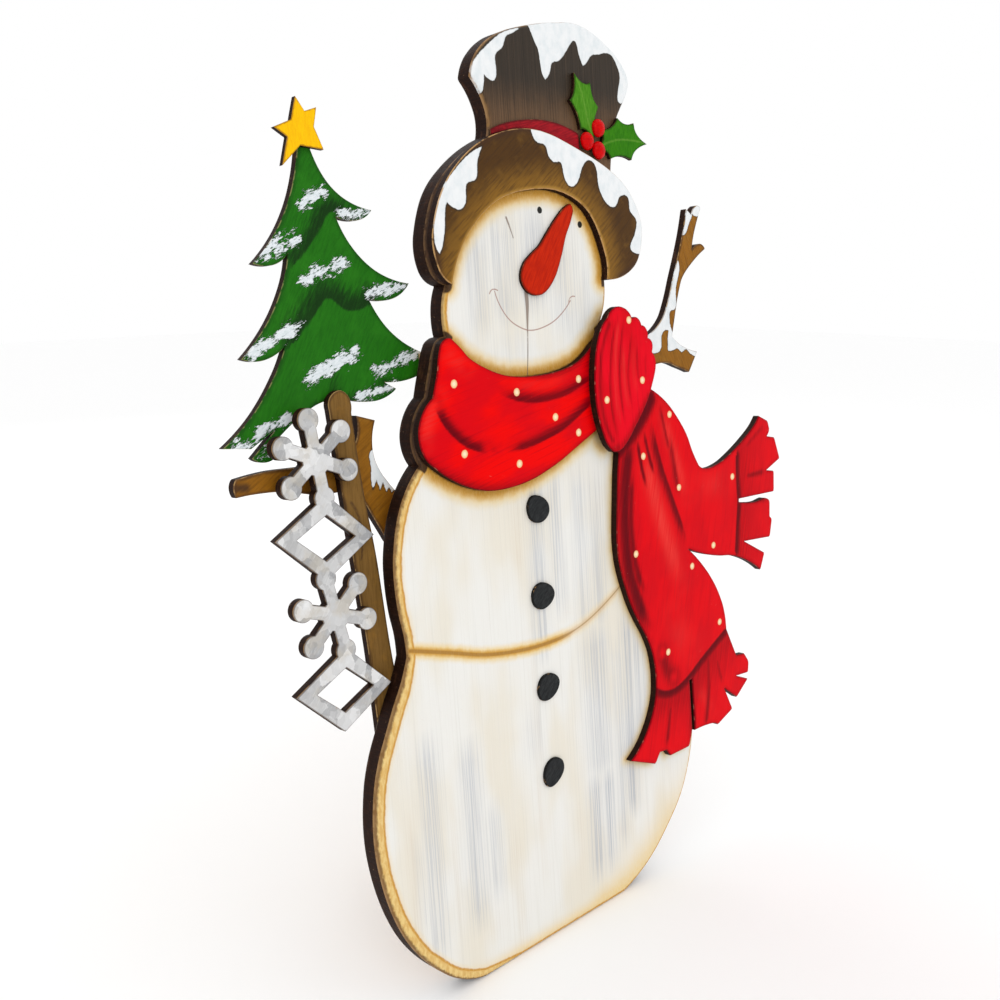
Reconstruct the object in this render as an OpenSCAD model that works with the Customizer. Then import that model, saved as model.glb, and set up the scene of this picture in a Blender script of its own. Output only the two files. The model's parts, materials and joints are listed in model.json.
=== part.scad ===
// Free-standing wooden snowman with a tree, cut from boards and painted.
// The figure leans back on an easel leg. X runs to the right, Y to the back, Z up.
// The origin is on the floor, in the middle of the base's level cut.
// Outlines are drawn on the figure's own leaning plane: across, then up along the board.

/* [Figure] */
// Thickness of the two planks that make the body, head and hat
board_t = 20; // [16:1:24]
// Backward lean of the figure in degrees
lean_angle = 5.3; // [3:0.1:8]
// Thickness of the brim and scarf boards on the front
overlay_t = 9; // [6:1:12]
// Thickness of the carrot nose
nose_t = 4; // [3:1:8]
// Thickness of the holly leaves
leaf_t = 5; // [3:1:6]
// Radius of each holly berry
berry_r = 9; // [6:1:12]
// Thickness of the coal buttons
button_t = 3; // [2:1:5]

/* [Tree and ornaments] */
// Thickness of the tree and of its trunk
tree_t = 8; // [6:1:10]
// Thickness of the twig arms
arm_t = 9; // [7:1:10]
// Thickness of the star
star_t = 6; // [4:1:8]
// Thickness of the wooden backing of the hanging ornaments
backing_t = 9; // [7:1:9]
// Thickness of the galvanised sheet on the ornaments
sheet_t = 1; // [0.6:0.1:1]

/* [Easel] */
// Thickness of the two battens across the back
batten_t = 18; // [16:1:20]
// Thickness of the easel leg
leg_t = 16; // [14:1:18]
// Width of the easel leg between its cheeks
leg_w = 60; // [50:2:64]
// Angle between the open easel leg and the figure's back
leg_angle = 17.3; // [15:0.1:19]
// Height of the hinge pin along the board
pin_v = 566; // [562:1:570]
// Diameter of the hinge pin
pin_d = 6; // [5:0.5:8]
// Radial running clearance of the pin in the leg
pin_clearance = 0.05; // [0.02:0.01:0.1]

/* [Hidden] */

$fn = 48;
// Largest turn and length that one straight facet of a curve takes
facet_turn = 10;
facet_length = 24;
// Screw sizes shared by every fixing
screw_d = 4;
screw_head_d = 8;
screw_head_t = 2.4;
hole_slack = 0.1;
// Gap left between flat faces that belong to different moving bodies
side_gap = 0.6;
stop_gap = 0.2;

// Layers, counted backwards from the front face of the planks
back = board_t;
trunk_back = back + tree_t;
leg_axis = back + batten_t + leg_t / 2 + 2;
cheek_t = leg_t + 6;
cheek_w = 18;
cheek_h = 52;
batten_back = back + batten_t;

// ---------- Curves ----------

function unit(v) = v / norm(v);
function reflected(v, chord) = 2 * (chord * v) * chord - v;
function turn(a, b) = acos(max(-1, min(1, a * b)));

// Direction of a curve at each of its points
function inner_heading(p, i) = unit(p[i + 1] - p[i - 1]);
function open_heading(p, i) =
    len(p) == 2 ? unit(p[1] - p[0])
    : i == 0 ? reflected(inner_heading(p, 1), unit(p[1] - p[0]))
    : i == len(p) - 1 ? reflected(inner_heading(p, i - 1), unit(p[i] - p[i - 1]))
    : inner_heading(p, i);

// One stretch between two points, leaving out its last point
function span(a, b, heading_a, heading_b) =
    let (reach = norm(b - a),
        steps = max(1, ceil(turn(heading_a, heading_b) / facet_turn),
            heading_a * unit(b - a) > 0.9999 ? 1 : ceil(reach / facet_length)))
    [for (i = [0 : steps - 1]) let (t = i / steps)
        (2 * t^3 - 3 * t^2 + 1) * a + (t^3 - 2 * t^2 + t) * reach * heading_a
        + (3 * t^2 - 2 * t^3) * b + (t^3 - t^2) * reach * heading_b];

// A smooth open curve through all its points, leaving out the last one
function open_curve(p) = [for (i = [0 : len(p) - 2])
    each span(p[i], p[i + 1], open_heading(p, i), open_heading(p, i + 1))];

// A closed outline made of smooth stretches that meet at corners
function outline(stretches) = [for (s = stretches) each open_curve(s)];

// A closed outline that is smooth all the way round
function ring_point(p, i) = p[(i + len(p)) % len(p)];
function ring_heading(p, i) = unit(ring_point(p, i + 1) - ring_point(p, i - 1));
function closed_curve(p) = [for (i = [0 : len(p) - 1])
    each span(p[i], ring_point(p, i + 1), ring_heading(p, i), ring_heading(p, i + 1))];

// ---------- Placing ----------

// Moves the middle of the level-cut base to the origin
base_setback = board_t / 2 / cos(lean_angle);

module lean() translate([0, -base_setback, 0]) rotate([-lean_angle, 0, 0]) children();

// Stands a flat outline up on the leaning plane, from its front depth to the back
module layer(front, thickness)
    lean() translate([0, front + thickness, 0]) rotate([90, 0, 0])
        linear_extrude(thickness) children();

// A round bar along the board's thickness, from depth "from" forward by "length"
module bar(x, v, from, length, d)
    lean() translate([x, from, v]) rotate([90, 0, 0]) cylinder(d = d, h = length);

module screw(x, v, head_at, length) {
    bar(x, v, head_at + screw_head_t, screw_head_t, screw_head_d);
    bar(x, v, head_at, length, screw_d);
}

module screw_hole(x, v, head_at, length)
    bar(x, v, head_at + 0.5, length + 1, screw_d + hole_slack);

module below_floor() translate([-600, -200, -100]) cube([1200, 700, 100]);

// ---------- Fixings: [across, up] ----------

batten_fixings_upper = [[-72, 585], [-72, 545], [72, 585], [72, 545]];
batten_fixings_lower = [[-130, 120], [-75, 120], [75, 120], [130, 120]];
batten_screw_length = batten_t + 13;
cheek_fixings = [for (side = [-1, 1]) for (v = [pin_v - 17, pin_v + 17])
    [side * (leg_w / 2 + side_gap + cheek_w / 2), v]];
cheek_screw_length = cheek_t + 15;
right_arm_fixings = [[118, 572], [142, 577]];
left_arm_fixings = [[-140, 448], [-120, 446]];
arm_trunk_fixing = [-209, 516];
trunk_fixings = [[-184, 214], [-188, 262]];
ornament_fixings = [[-219, 556], [-210, 463], [-199, 326]];
tree_fixings = [[-211, 571]];
tree_spacer_fixings = [[-108, 609]];
dowel_heights = [60, 200, 330, 500, 700, 870];
dowel_d = 8;
dowel_l = 50;

// ---------- Body planks ----------

board_outline = outline([
    [[101, 0], [-112, 0]],
    [[-112, 0], [-157, 22], [-205, 82], [-229, 165], [-224, 240], [-197, 303], [-177, 345],
        [-182, 385], [-184, 430], [-172, 480], [-146, 516]],
    [[-146, 516], [-153, 547], [-134, 577]],
    [[-134, 577], [-126, 603], [-118, 624], [-105, 630]],
    [[-105, 630], [-106, 655], [-100, 676]],
    [[-100, 676], [-117, 689], [-120, 722], [-98, 769], [-36, 811]],
    [[-36, 811], [-36, 836], [-53, 863]],
    [[-53, 863], [-42, 886], [-16, 905], [32, 920], [70, 927]],
    [[70, 927], [105, 928], [140, 915], [163, 899], [173, 882], [168, 866], [151, 841],
        [138, 784]],
    [[138, 784], [164, 755], [173, 726], [158, 691], [120, 678]],
    [[120, 678], [117, 651], [105, 628]],
    [[105, 628], [138, 603], [160, 570], [178, 520], [186, 470], [184, 425], [170, 375],
        [186, 325], [217, 280], [238, 225], [242, 170], [235, 125], [216, 82], [191, 53],
        [150, 20], [101, 0]]
]);

module whole_board() difference() {
    layer(0, board_t) polygon(board_outline);
    below_floor();
    for (v = dowel_heights) dowel(v, dowel_d + hole_slack, dowel_l + 1);
    for (p = concat(batten_fixings_upper, batten_fixings_lower))
        screw_hole(p[0], p[1], batten_back, batten_screw_length);
    for (p = right_arm_fixings) screw_hole(p[0], p[1], back + arm_t, arm_t + 12);
    for (p = left_arm_fixings) screw_hole(p[0], p[1], trunk_back + arm_t, arm_t + tree_t + 12);
    for (p = trunk_fixings) screw_hole(p[0], p[1], trunk_back, tree_t + 12);
    for (p = tree_spacer_fixings) screw_hole(p[0], p[1], trunk_back + tree_t, 2 * tree_t + 12);
}

module dowel(v, d, length)
    lean() translate([-length / 2, board_t / 2, v]) rotate([0, 90, 0]) cylinder(d = d, h = length);

module body_plank_left() color("ivory") intersection() {
    whole_board();
    translate([-400, -100, -10]) cube([400, 400, 1100]);
}

module body_plank_right() color("ivory") intersection() {
    whole_board();
    translate([0, -100, -10]) cube([400, 400, 1100]);
}

module plank_dowels() color("burlywood") for (v = dowel_heights) dowel(v, dowel_d, dowel_l);

// ---------- Hat ----------

brim_outline = outline([
    [[-101, 676], [-116, 690], [-120, 722], [-98, 769], [-50, 806], [14, 820], [80, 805],
        [138, 781], [164, 755], [173, 726], [158, 691], [113, 678]],
    [[113, 678], [112, 703], [92, 742], [62, 760], [22, 765], [-35, 753], [-78, 720], [-101, 676]]
]);

module hat_brim() color("saddlebrown") layer(-overlay_t, overlay_t) polygon(brim_outline);

band_t = 3;

module hat_band() color("crimson") difference() {
    layer(-band_t, band_t) polygon(outline([
        [[-36, 817], [-9, 826], [30, 831], [60, 829], [86, 822]],
        [[86, 822], [88, 795]],
        [[88, 795], [-36, 795]],
        [[-36, 795], [-36, 817]]
    ]));
    layer(-overlay_t - 1, overlay_t + 2) polygon(brim_outline);
}

// A holly leaf: each edge between two tips is scooped in towards the leaf's middle
function scoop(a, b, middle, depth) = let (m = (a + b) / 2, c = m + depth * (middle - m))
    [for (i = [0 : 4]) let (t = i / 5) (1 - t)^2 * a + 2 * t * (1 - t) * c + t^2 * b];
function holly(tips, middle, depth) = [for (i = [0 : len(tips) - 1])
    each scoop(tips[i], tips[(i + 1) % len(tips)], middle, depth)];

module holly_leaf_upper() color("forestgreen") layer(-leaf_t, leaf_t)
    polygon(holly([[82, 880], [106, 873], [117, 850], [107, 815], [88, 826], [74, 853]],
        [95, 848], 0.35));

module holly_leaf_side() color("forestgreen") layer(-leaf_t, leaf_t)
    polygon(holly([[110, 808], [120, 828], [146, 842], [172, 839], [193, 819], [166, 801], [132, 800]],
        [150, 820], 0.35));

// A turned wooden bead with a flat back, sitting on the leaves
module berry(x, v) lean() translate([x, -leaf_t, v]) rotate([90, 0, 0])
    rotate_extrude() polygon(concat([[0, 0]], [for (a = [0 : 10 : 90])
        [berry_r * cos(a), berry_r * 0.7 * sin(a)]]));

module holly_berries() color("red") {
    berry(95, 815);
    berry(113, 829);
    berry(112, 807);
}

// ---------- Face and buttons ----------

module carrot_nose() color("orangered") layer(-nose_t, nose_t) polygon(closed_curve([
    [66, 753], [71, 745], [59, 722], [43, 686], [23, 666], [3, 666], [-8, 680], [-1, 697],
    [20, 712], [42, 735]]));

// A lump of coal: a rounded disc with a few flats, turned a little differently each time
function lump(turned) = [for (a = [0 : 51.43 : 359])
    [16 * cos(a), 13.6 * sin(a) + 1.1 * cos(2 * a + turned)]];

button_x = -2;
button_heights = [455, 366, 270, 178];

module coal_button(i) color("dimgray") layer(-button_t, button_t)
    translate([button_x, button_heights[i]]) rotate(24 * i - 30)
        polygon(closed_curve(lump(70 * i)));

module coal_button_1() coal_button(0);
module coal_button_2() coal_button(1);
module coal_button_3() coal_button(2);
module coal_button_4() coal_button(3);

// ---------- Scarf ----------

module scarf_wrap() color("red") layer(-overlay_t, overlay_t) polygon(outline([
    [[-143, 518], [-153, 548], [-134, 576]],
    [[-134, 576], [-126, 600], [-120, 623], [-107, 628], [-86, 609], [-45, 591], [6, 587],
        [54, 594], [84, 612]],
    [[84, 612], [106, 626]],
    [[106, 626], [106, 534]],
    [[106, 534], [79, 522], [30, 500], [-26, 484], [-85, 486], [-143, 518]]
]));

// The two tails share one board; their strands are cut into its ends
module scarf_tails() color("red") layer(-overlay_t, overlay_t) polygon(outline([
    [[106, 505], [106, 626]],
    [[106, 626], [126, 640], [150, 622], [170, 585], [176, 560]],
    [[176, 560], [209, 538], [238, 503], [259, 465], [286, 460], [320, 470], [368, 495], [385, 510]],
    [[385, 510], [404, 502]],
    [[404, 502], [408, 490]],
    [[408, 490], [402, 483]],
    [[402, 483], [418, 480]],
    [[418, 480], [429, 452]],
    [[429, 452], [399, 441]],
    [[399, 441], [415, 438]],
    [[415, 438], [414, 412]],
    [[414, 412], [337, 414]],
    [[337, 414], [337, 410]],
    [[337, 410], [374, 405], [392, 407], [404, 402]],
    [[404, 402], [403, 382]],
    [[403, 382], [408, 378]],
    [[408, 378], [402, 356]],
    [[402, 356], [346, 360]],
    [[346, 360], [389, 338]],
    [[389, 338], [379, 318]],
    [[379, 318], [349, 336], [316, 348]],
    [[316, 348], [272, 357], [233, 371]],
    [[233, 371], [272, 333], [295, 295], [302, 260]],
    [[302, 260], [321, 222]],
    [[321, 222], [338, 220]],
    [[338, 220], [347, 208]],
    [[347, 208], [345, 194]],
    [[345, 194], [320, 196]],
    [[320, 196], [344, 186]],
    [[344, 186], [319, 169]],
    [[319, 169], [294, 187]],
    [[294, 187], [309, 157]],
    [[309, 157], [278, 146]],
    [[278, 146], [266, 151], [232, 153]],
    [[232, 153], [230, 216]],
    [[230, 216], [225, 216]],
    [[225, 216], [227, 156]],
    [[227, 156], [220, 137]],
    [[220, 137], [184, 137]],
    [[184, 137], [177, 146]],
    [[177, 146], [165, 147]],
    [[165, 147], [156, 136]],
    [[156, 136], [114, 153]],
    [[114, 153], [145, 180], [163, 220], [158, 270], [128, 325], [109, 385], [112, 450], [118, 496]],
    [[118, 496], [106, 505]]
]));

module scarf_knot() color("firebrick") layer(-2 * overlay_t, overlay_t) polygon(outline([
    [[100, 500], [87, 515], [76, 552], [77, 593], [86, 623], [99, 638]],
    [[99, 638], [113, 649], [129, 647], [139, 637]],
    [[139, 637], [148, 637], [154, 629]],
    [[154, 629], [162, 625], [164, 615]],
    [[164, 615], [171, 610], [170, 600]],
    [[170, 600], [176, 588], [170, 569], [157, 546], [136, 522], [116, 503], [100, 500]]
]));

// ---------- Arms ----------

module right_arm() color("darkgoldenrod") difference() {
    layer(back, arm_t) polygon(outline([
        [[104, 552], [150, 568], [200, 580], [240, 585], [262, 579], [286, 571]],
        [[286, 571], [303, 594]],
        [[303, 594], [275, 602], [256, 614]],
        [[256, 614], [262, 634], [277, 676], [298, 696], [326, 713]],
        [[326, 713], [316, 719], [300, 712]],
        [[300, 712], [305, 730], [320, 760]],
        [[320, 760], [310, 762], [301, 752]],
        [[301, 752], [292, 758]],
        [[292, 758], [281, 724], [262, 680], [243, 640], [222, 622], [190, 610], [104, 590]],
        [[104, 590], [104, 552]]
    ]));
    for (p = right_arm_fixings) screw_hole(p[0], p[1], back + arm_t, arm_t + 1);
}

left_arm_outline = outline([
    [[-318, 511], [-320, 519], [-317, 526]],
    [[-317, 526], [-284, 529], [-240, 528], [-206, 532]],
    [[-206, 532], [-194, 545], [-192, 566]],
    [[-192, 566], [-172, 560]],
    [[-172, 560], [-177, 532], [-167, 508], [-140, 480], [-100, 458]],
    [[-100, 458], [-112, 428]],
    [[-112, 428], [-160, 440], [-178, 465], [-200, 497], [-240, 502], [-276, 510], [-318, 511]]
]);

module left_arm() color("darkgoldenrod") difference() {
    layer(trunk_back, arm_t) polygon(left_arm_outline);
    for (p = left_arm_fixings) screw_hole(p[0], p[1], trunk_back + arm_t, arm_t + 1);
    screw_hole(arm_trunk_fixing[0], arm_trunk_fixing[1], trunk_back + arm_t, arm_t + 1);
}

// Packing block that brings the left arm level with the back of the trunk
module left_arm_spacer() color("burlywood") difference() {
    layer(back, tree_t) polygon([[-152, 440], [-152, 462], [-106, 456], [-114, 432]]);
    for (p = left_arm_fixings) screw_hole(p[0], p[1], trunk_back, tree_t + 1);
}

// ---------- Tree ----------

// A narrow tongue under the tree runs down behind the trunk and takes its screw
module tree_top() color("forestgreen") difference() {
    layer(trunk_back, tree_t) polygon(outline([
        [[-219, 801], [-206, 771], [-186, 753], [-157, 744]],
        [[-157, 744], [-172, 735], [-196, 737]],
        [[-196, 737], [-180, 710], [-155, 690], [-121, 680]],
        [[-121, 680], [-140, 667], [-168, 667]],
        [[-168, 667], [-150, 641], [-125, 623], [-94, 612]],
        [[-94, 612], [-118, 596], [-158, 593]],
        [[-158, 593], [-145, 586]],
        [[-145, 586], [-170, 577], [-205, 583]],
        [[-205, 583], [-205, 563]],
        [[-205, 563], [-217, 563]],
        [[-217, 563], [-217, 582]],
        [[-217, 582], [-238, 577], [-272, 556]],
        [[-272, 556], [-280, 538], [-300, 541]],
        [[-300, 541], [-276, 562]],
        [[-276, 562], [-300, 549]],
        [[-300, 549], [-326, 552]],
        [[-326, 552], [-296, 576], [-272, 606], [-259, 630]],
        [[-259, 630], [-280, 620], [-301, 622]],
        [[-301, 622], [-274, 650], [-256, 680], [-248, 706]],
        [[-248, 706], [-262, 697], [-282, 698]],
        [[-282, 698], [-256, 726], [-238, 760], [-228, 801]],
        [[-228, 801], [-219, 801]]
    ]));
    for (p = tree_fixings) screw_hole(p[0], p[1], trunk_back + tree_t, tree_t + 1);
    for (p = tree_spacer_fixings) screw_hole(p[0], p[1], trunk_back + tree_t, tree_t + 1);
}

module tree_trunk() color("peru") difference() {
    layer(back, tree_t) polygon(outline([
        [[-226, 574], [-224, 585], [-213, 590], [-204, 583], [-203, 570]],
        [[-203, 570], [-197, 500], [-189, 440], [-181, 350], [-170, 270], [-163, 192]],
        [[-163, 192], [-198, 190]],
        [[-198, 190], [-202, 270], [-206, 350], [-213, 430], [-220, 500], [-226, 574]]
    ]));
    for (p = tree_fixings) screw_hole(p[0], p[1], trunk_back, tree_t - 1);
    for (p = concat(trunk_fixings, ornament_fixings)) screw_hole(p[0], p[1], trunk_back, tree_t + 1);
    screw_hole(arm_trunk_fixing[0], arm_trunk_fixing[1], trunk_back, tree_t - 1);
}

// Packing block between the lowest branches and the back of the figure
module tree_spacer() color("burlywood") difference() {
    layer(back, tree_t) polygon([[-117, 601], [-117, 616], [-98, 613], [-101, 603]]);
    for (p = tree_spacer_fixings) screw_hole(p[0], p[1], trunk_back, tree_t + 1);
}

module tree_star() color("gold") layer(trunk_back - star_t, star_t)
    polygon([[-231, 832], [-223, 821], [-211, 825], [-215, 809], [-207, 791], [-230, 793],
        [-249, 776], [-242, 799], [-254, 806], [-237, 813]]);

// ---------- Ornaments ----------

// Six bars with round ends about a hub
module snow_crystal(reach, width, knob_r) {
    circle(r = knob_r + 4);
    for (i = [0 : 5]) rotate(60 * i) {
        translate([-width / 2, 0]) square([width, reach]);
        translate([0, reach]) circle(r = knob_r);
    }
}

module lozenge_ring(half_w, half_h, inner_w, inner_h) difference() {
    polygon([[half_w, 0], [0, half_h], [-half_w, 0], [0, -half_h]]);
    polygon([[inner_w, 0], [0, inner_h], [-inner_w, 0], [0, -inner_h]]);
}

ornament_pitch = 68;
ornament_top = [-250, 535];

// The ornaments hang one below the other, each knocked a little off square
module ornament_outline() for (i = [0 : 3])
    translate(ornament_top + [3 * i, -i * ornament_pitch]) rotate([8, -6, 12, -7][i])
        if (i % 2 == 0) snow_crystal(34, 12, 10);
        else lozenge_ring(50, 37, 30, 20);

module ornament_backing() color("saddlebrown") difference() {
    layer(back - backing_t, backing_t) ornament_outline();
    for (p = ornament_fixings) screw_hole(p[0], p[1], trunk_back, tree_t + 7);
}

module ornament_sheet() color("lightgray")
    layer(back - backing_t - sheet_t, sheet_t) ornament_outline();

// ---------- Fixings ----------

module ornament_screws() color("silver")
    for (p = ornament_fixings) screw(p[0], p[1], trunk_back, tree_t + 6);

module tree_screws() color("silver") {
    for (p = tree_fixings) screw(p[0], p[1], trunk_back + tree_t, 2 * tree_t - 3);
    for (p = tree_spacer_fixings) screw(p[0], p[1], trunk_back + tree_t, 2 * tree_t + 11);
}

module trunk_screws() color("silver")
    for (p = trunk_fixings) screw(p[0], p[1], trunk_back, tree_t + 11);

module arm_screws() color("silver") {
    for (p = right_arm_fixings) screw(p[0], p[1], back + arm_t, arm_t + 11);
    for (p = left_arm_fixings) screw(p[0], p[1], trunk_back + arm_t, arm_t + tree_t + 11);
    screw(arm_trunk_fixing[0], arm_trunk_fixing[1], trunk_back + arm_t, arm_t + tree_t - 3);
}

// ---------- Back battens and easel ----------

module batten(left, right, low, high, holes) color("burlywood") difference() {
    layer(back, batten_t) translate([left, low]) square([right - left, high - low]);
    for (p = holes) screw_hole(p[0], p[1], batten_back, batten_screw_length);
}

module upper_batten() difference() {
    batten(-88, 88, 526, 604, batten_fixings_upper);
    for (p = cheek_fixings) screw_hole(p[0], p[1], batten_back + cheek_t, cheek_screw_length);
}

module lower_batten() batten(-155, 155, 95, 145, batten_fixings_lower);

module batten_screws() color("silver")
    for (p = concat(batten_fixings_upper, batten_fixings_lower))
        screw(p[0], p[1], batten_back, batten_screw_length - 1);

module pin_bar(length, d) lean() translate([-length / 2, leg_axis, pin_v])
    rotate([0, 90, 0]) cylinder(d = d, h = length);

module hinge_cheek(side) color("burlywood") difference() {
    layer(batten_back, cheek_t)
        translate([side * (leg_w / 2 + side_gap + cheek_w / 2) - cheek_w / 2, pin_v - cheek_h / 2])
            square([cheek_w, cheek_h]);
    pin_bar(leg_w + 2 * side_gap + 2 * cheek_w + 2, pin_d);
    for (p = cheek_fixings) screw_hole(p[0], p[1], batten_back + cheek_t, cheek_screw_length);
}

module hinge_cheek_left() hinge_cheek(-1);
module hinge_cheek_right() hinge_cheek(1);

module cheek_screws() color("silver") for (p = cheek_fixings)
    screw(p[0], p[1], batten_back + cheek_t, cheek_screw_length - 1);

module hinge_pin() color("silver") pin_bar(leg_w + 2 * side_gap + 2 * cheek_w, pin_d);

leg_top = 30;
leg_foot_w = 92;
leg_length = 620;

// The leg hangs from its pin, turned out to its stop; its top front face is cut
// to lie flat on the upper batten, and its foot is cut level with the floor
module easel_leg() color("burlywood") difference() {
    lean() translate([0, leg_axis, pin_v]) rotate([leg_angle, 0, 0])
        translate([0, leg_t / 2, 0]) rotate([90, 0, 0]) linear_extrude(leg_t) polygon(outline([
            [[-leg_w / 2, leg_top], [-leg_w / 2, -60]],
            [[-leg_w / 2, -60], [-leg_w / 2 - 4, -160], [-leg_foot_w / 2, -420],
                [-leg_foot_w / 2, -leg_length]],
            [[-leg_foot_w / 2, -leg_length], [leg_foot_w / 2, -leg_length]],
            [[leg_foot_w / 2, -leg_length], [leg_foot_w / 2, -420], [leg_w / 2 + 4, -160],
                [leg_w / 2, -60]],
            [[leg_w / 2, -60], [leg_w / 2, leg_top]],
            [[leg_w / 2, leg_top], [-leg_w / 2, leg_top]]
        ]));
    lean() translate([-100, -200, 400]) cube([200, 200 + batten_back + stop_gap, 400]);
    pin_bar(leg_w + 10, pin_d + 2 * pin_clearance);
    below_floor();
}

body_plank_left();
body_plank_right();
plank_dowels();
hat_brim();
hat_band();
holly_leaf_upper();
holly_leaf_side();
holly_berries();
carrot_nose();
coal_button_1();
coal_button_2();
coal_button_3();
coal_button_4();
scarf_wrap();
scarf_tails();
scarf_knot();
right_arm();
left_arm();
left_arm_spacer();
tree_top();
tree_trunk();
tree_star();
tree_spacer();
ornament_backing();
ornament_sheet();
ornament_screws();
tree_screws();
trunk_screws();
arm_screws();
upper_batten();
lower_batten();
batten_screws();
hinge_cheek_left();
hinge_cheek_right();
cheek_screws();
hinge_pin();
easel_leg();
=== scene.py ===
"""Looks of the wooden snowman: every board is rebuilt from its CAD outline as a fine painted mesh.

Boards are worked on in their own tilted plane, in millimetres: across, depth behind the planks' front
face, and up along the board. Painted shapes are distance fields kept on the mesh's points, which the
materials turn into brushwork.
"""
import json
import math

import bmesh
import bpy
import numpy as np
from mathutils import Matrix, Vector
from mathutils.geometry import delaunay_2d_cdt
from mathutils.kdtree import KDTree


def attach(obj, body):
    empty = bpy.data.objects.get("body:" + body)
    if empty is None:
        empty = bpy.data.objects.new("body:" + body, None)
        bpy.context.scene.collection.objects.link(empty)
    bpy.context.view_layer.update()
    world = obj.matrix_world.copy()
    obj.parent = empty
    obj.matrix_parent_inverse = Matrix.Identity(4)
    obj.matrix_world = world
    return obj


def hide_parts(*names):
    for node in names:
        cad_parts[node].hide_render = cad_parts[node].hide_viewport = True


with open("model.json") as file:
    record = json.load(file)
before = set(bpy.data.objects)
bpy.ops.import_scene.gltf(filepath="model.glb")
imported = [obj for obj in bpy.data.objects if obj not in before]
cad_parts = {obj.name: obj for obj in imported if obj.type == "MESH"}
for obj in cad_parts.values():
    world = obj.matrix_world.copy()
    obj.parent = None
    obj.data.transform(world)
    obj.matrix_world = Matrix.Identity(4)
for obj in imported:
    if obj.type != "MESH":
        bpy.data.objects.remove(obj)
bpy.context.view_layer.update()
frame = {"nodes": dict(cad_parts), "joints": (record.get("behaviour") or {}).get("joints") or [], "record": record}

MM = 0.001
LEAN = math.radians(5.3)
LEG_TILT = math.radians(12)
BOARD_T = 20.0
FIGURE, EASEL = "figure", "easel"
rng = np.random.default_rng(7)

# Reading CAD outlines, in millimetres
TOUCHING = 0.05
SHORTEST_OUTLINE = 30.0
# Meshes of boards: points round a front arris as shares of its radius, rows of points down a sawn
# edge as shares of its depth, the back's spacing, and the step along thin painted lines
ARRIS_RINGS = (0.12, 0.35, 0.65, 1.0)
WALL_ROWS = (0, 0.08, 0.3, 0.55, 0.8, 1.0)
BACK_SPACING = 22.0
DETAIL_STEP = 1.6
# Round things: their sides, the rows of a berry, and the screws' heads and shanks
SIDES = 40
BERRY_ROWS = 14
SCREW_HEAD_T, SHANK_R = 2.4, 2.0
# How near, in shares of its depth, a ring may come to the outline; the height of a grid's triangles,
# its disturbance and its distance from the rings and from painted detail, in shares of its spacing;
# and the least distance in millimetres of painted detail from the outline
NEAR_DEPTH = 0.93
TRIANGLE_HEIGHT, GRID_SHIFT, GRID_MARGIN, DETAIL_ROOM = 0.866, 0.12, 0.55, 0.6
DETAIL_MARGIN = 0.8
# Welding distances in metres: a CAD node's corners, and a finished mesh's points
CAD_WELD, WELD = 2e-5, 1.5e-5
# A board's material slots
FRONT_SLOT, SIDE_SLOT, BACK_SLOT = range(3)
# How far each noise pattern moves along from the one before, in its own sizes, and its rise as a
# share of that; and how much longer than wide growth rings are
PATTERN_STEP, PATTERN_RISE = 17.3, 0.37
RING_STRETCH = 14.0
# Height along the board at which the hat's crown begins
CROWN_FROM = 780


# ---------- Planes ----------

class Plane:
    """A drawing plane turned about X, for changing between world metres and board millimetres."""

    def __init__(self, angle, y, z):
        self.cos, self.sin, self.y, self.z = math.cos(angle), math.sin(angle), y, z

    def flat(self, world):
        x, y, z = np.asarray(world, float).T / MM
        y, z = y - self.y, z - self.z
        return np.column_stack([x, y * self.cos + z * self.sin, z * self.cos - y * self.sin])

    def world(self, flat):
        x, w, v = np.asarray(flat, float).T
        return np.column_stack([x, self.y + w * self.cos - v * self.sin,
                                self.z + w * self.sin + v * self.cos]) * MM


hinge = [value / MM for value in frame["joints"][0]["pos_m"]]
FRONT = Plane(-LEAN, -BOARD_T / 2 / math.cos(LEAN), 0)
LEG = Plane(LEG_TILT, hinge[1], hinge[2])
slots = {s["node"]: s["material_slot"] for s in frame["record"]["subparts"]}


# ---------- Distances on a plane ----------

def chain(points, closed=False):
    """The straight pieces between points, as starts and ends."""
    points = np.asarray(points, float)
    ends = np.roll(points, -1, axis=0)
    return (points, ends) if closed else (points[:-1], ends[:-1])


def cut_short(pieces, longest=3.0):
    """The same pieces, with the long ones cut into equal shorter ones."""
    starts, ends = pieces
    counts = np.ceil(np.linalg.norm(ends - starts, axis=1) / longest).astype(int).clip(1)
    which = np.repeat(np.arange(len(starts)), counts)
    part = np.concatenate([np.arange(n) for n in counts])
    first, last = (part / counts[which])[:, None], ((part + 1) / counts[which])[:, None]
    along = (ends - starts)[which]
    return starts[which] + first * along, starts[which] + last * along


def nearest(at, pieces):
    """Distance from each place to the nearest piece, and its side: 1 on the piece's left, -1 right."""
    starts, ends = cut_short(pieces)
    tree = KDTree(len(starts))
    for number, (x, y) in enumerate((starts + ends) / 2):
        tree.insert((x, y, 0), number)
    tree.balance()
    few = min(3, len(starts))
    near = np.array([[found[1] for found in tree.find_n((x, y, 0), few)] for x, y in at], int)
    near = near.reshape(-1, few)
    along = ends[near] - starts[near]
    gap = at[:, None] - starts[near]
    t = np.clip((gap * along).sum(2) / np.maximum((along ** 2).sum(2), 1e-12), 0, 1)
    gap = gap - t[..., None] * along
    length = np.sqrt((gap ** 2).sum(2))
    row, best = np.arange(len(at)), length.argmin(1)
    gap, along = gap[row, best], along[row, best]
    return length[row, best], np.sign(along[:, 0] * gap[:, 1] - along[:, 1] * gap[:, 0])


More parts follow.
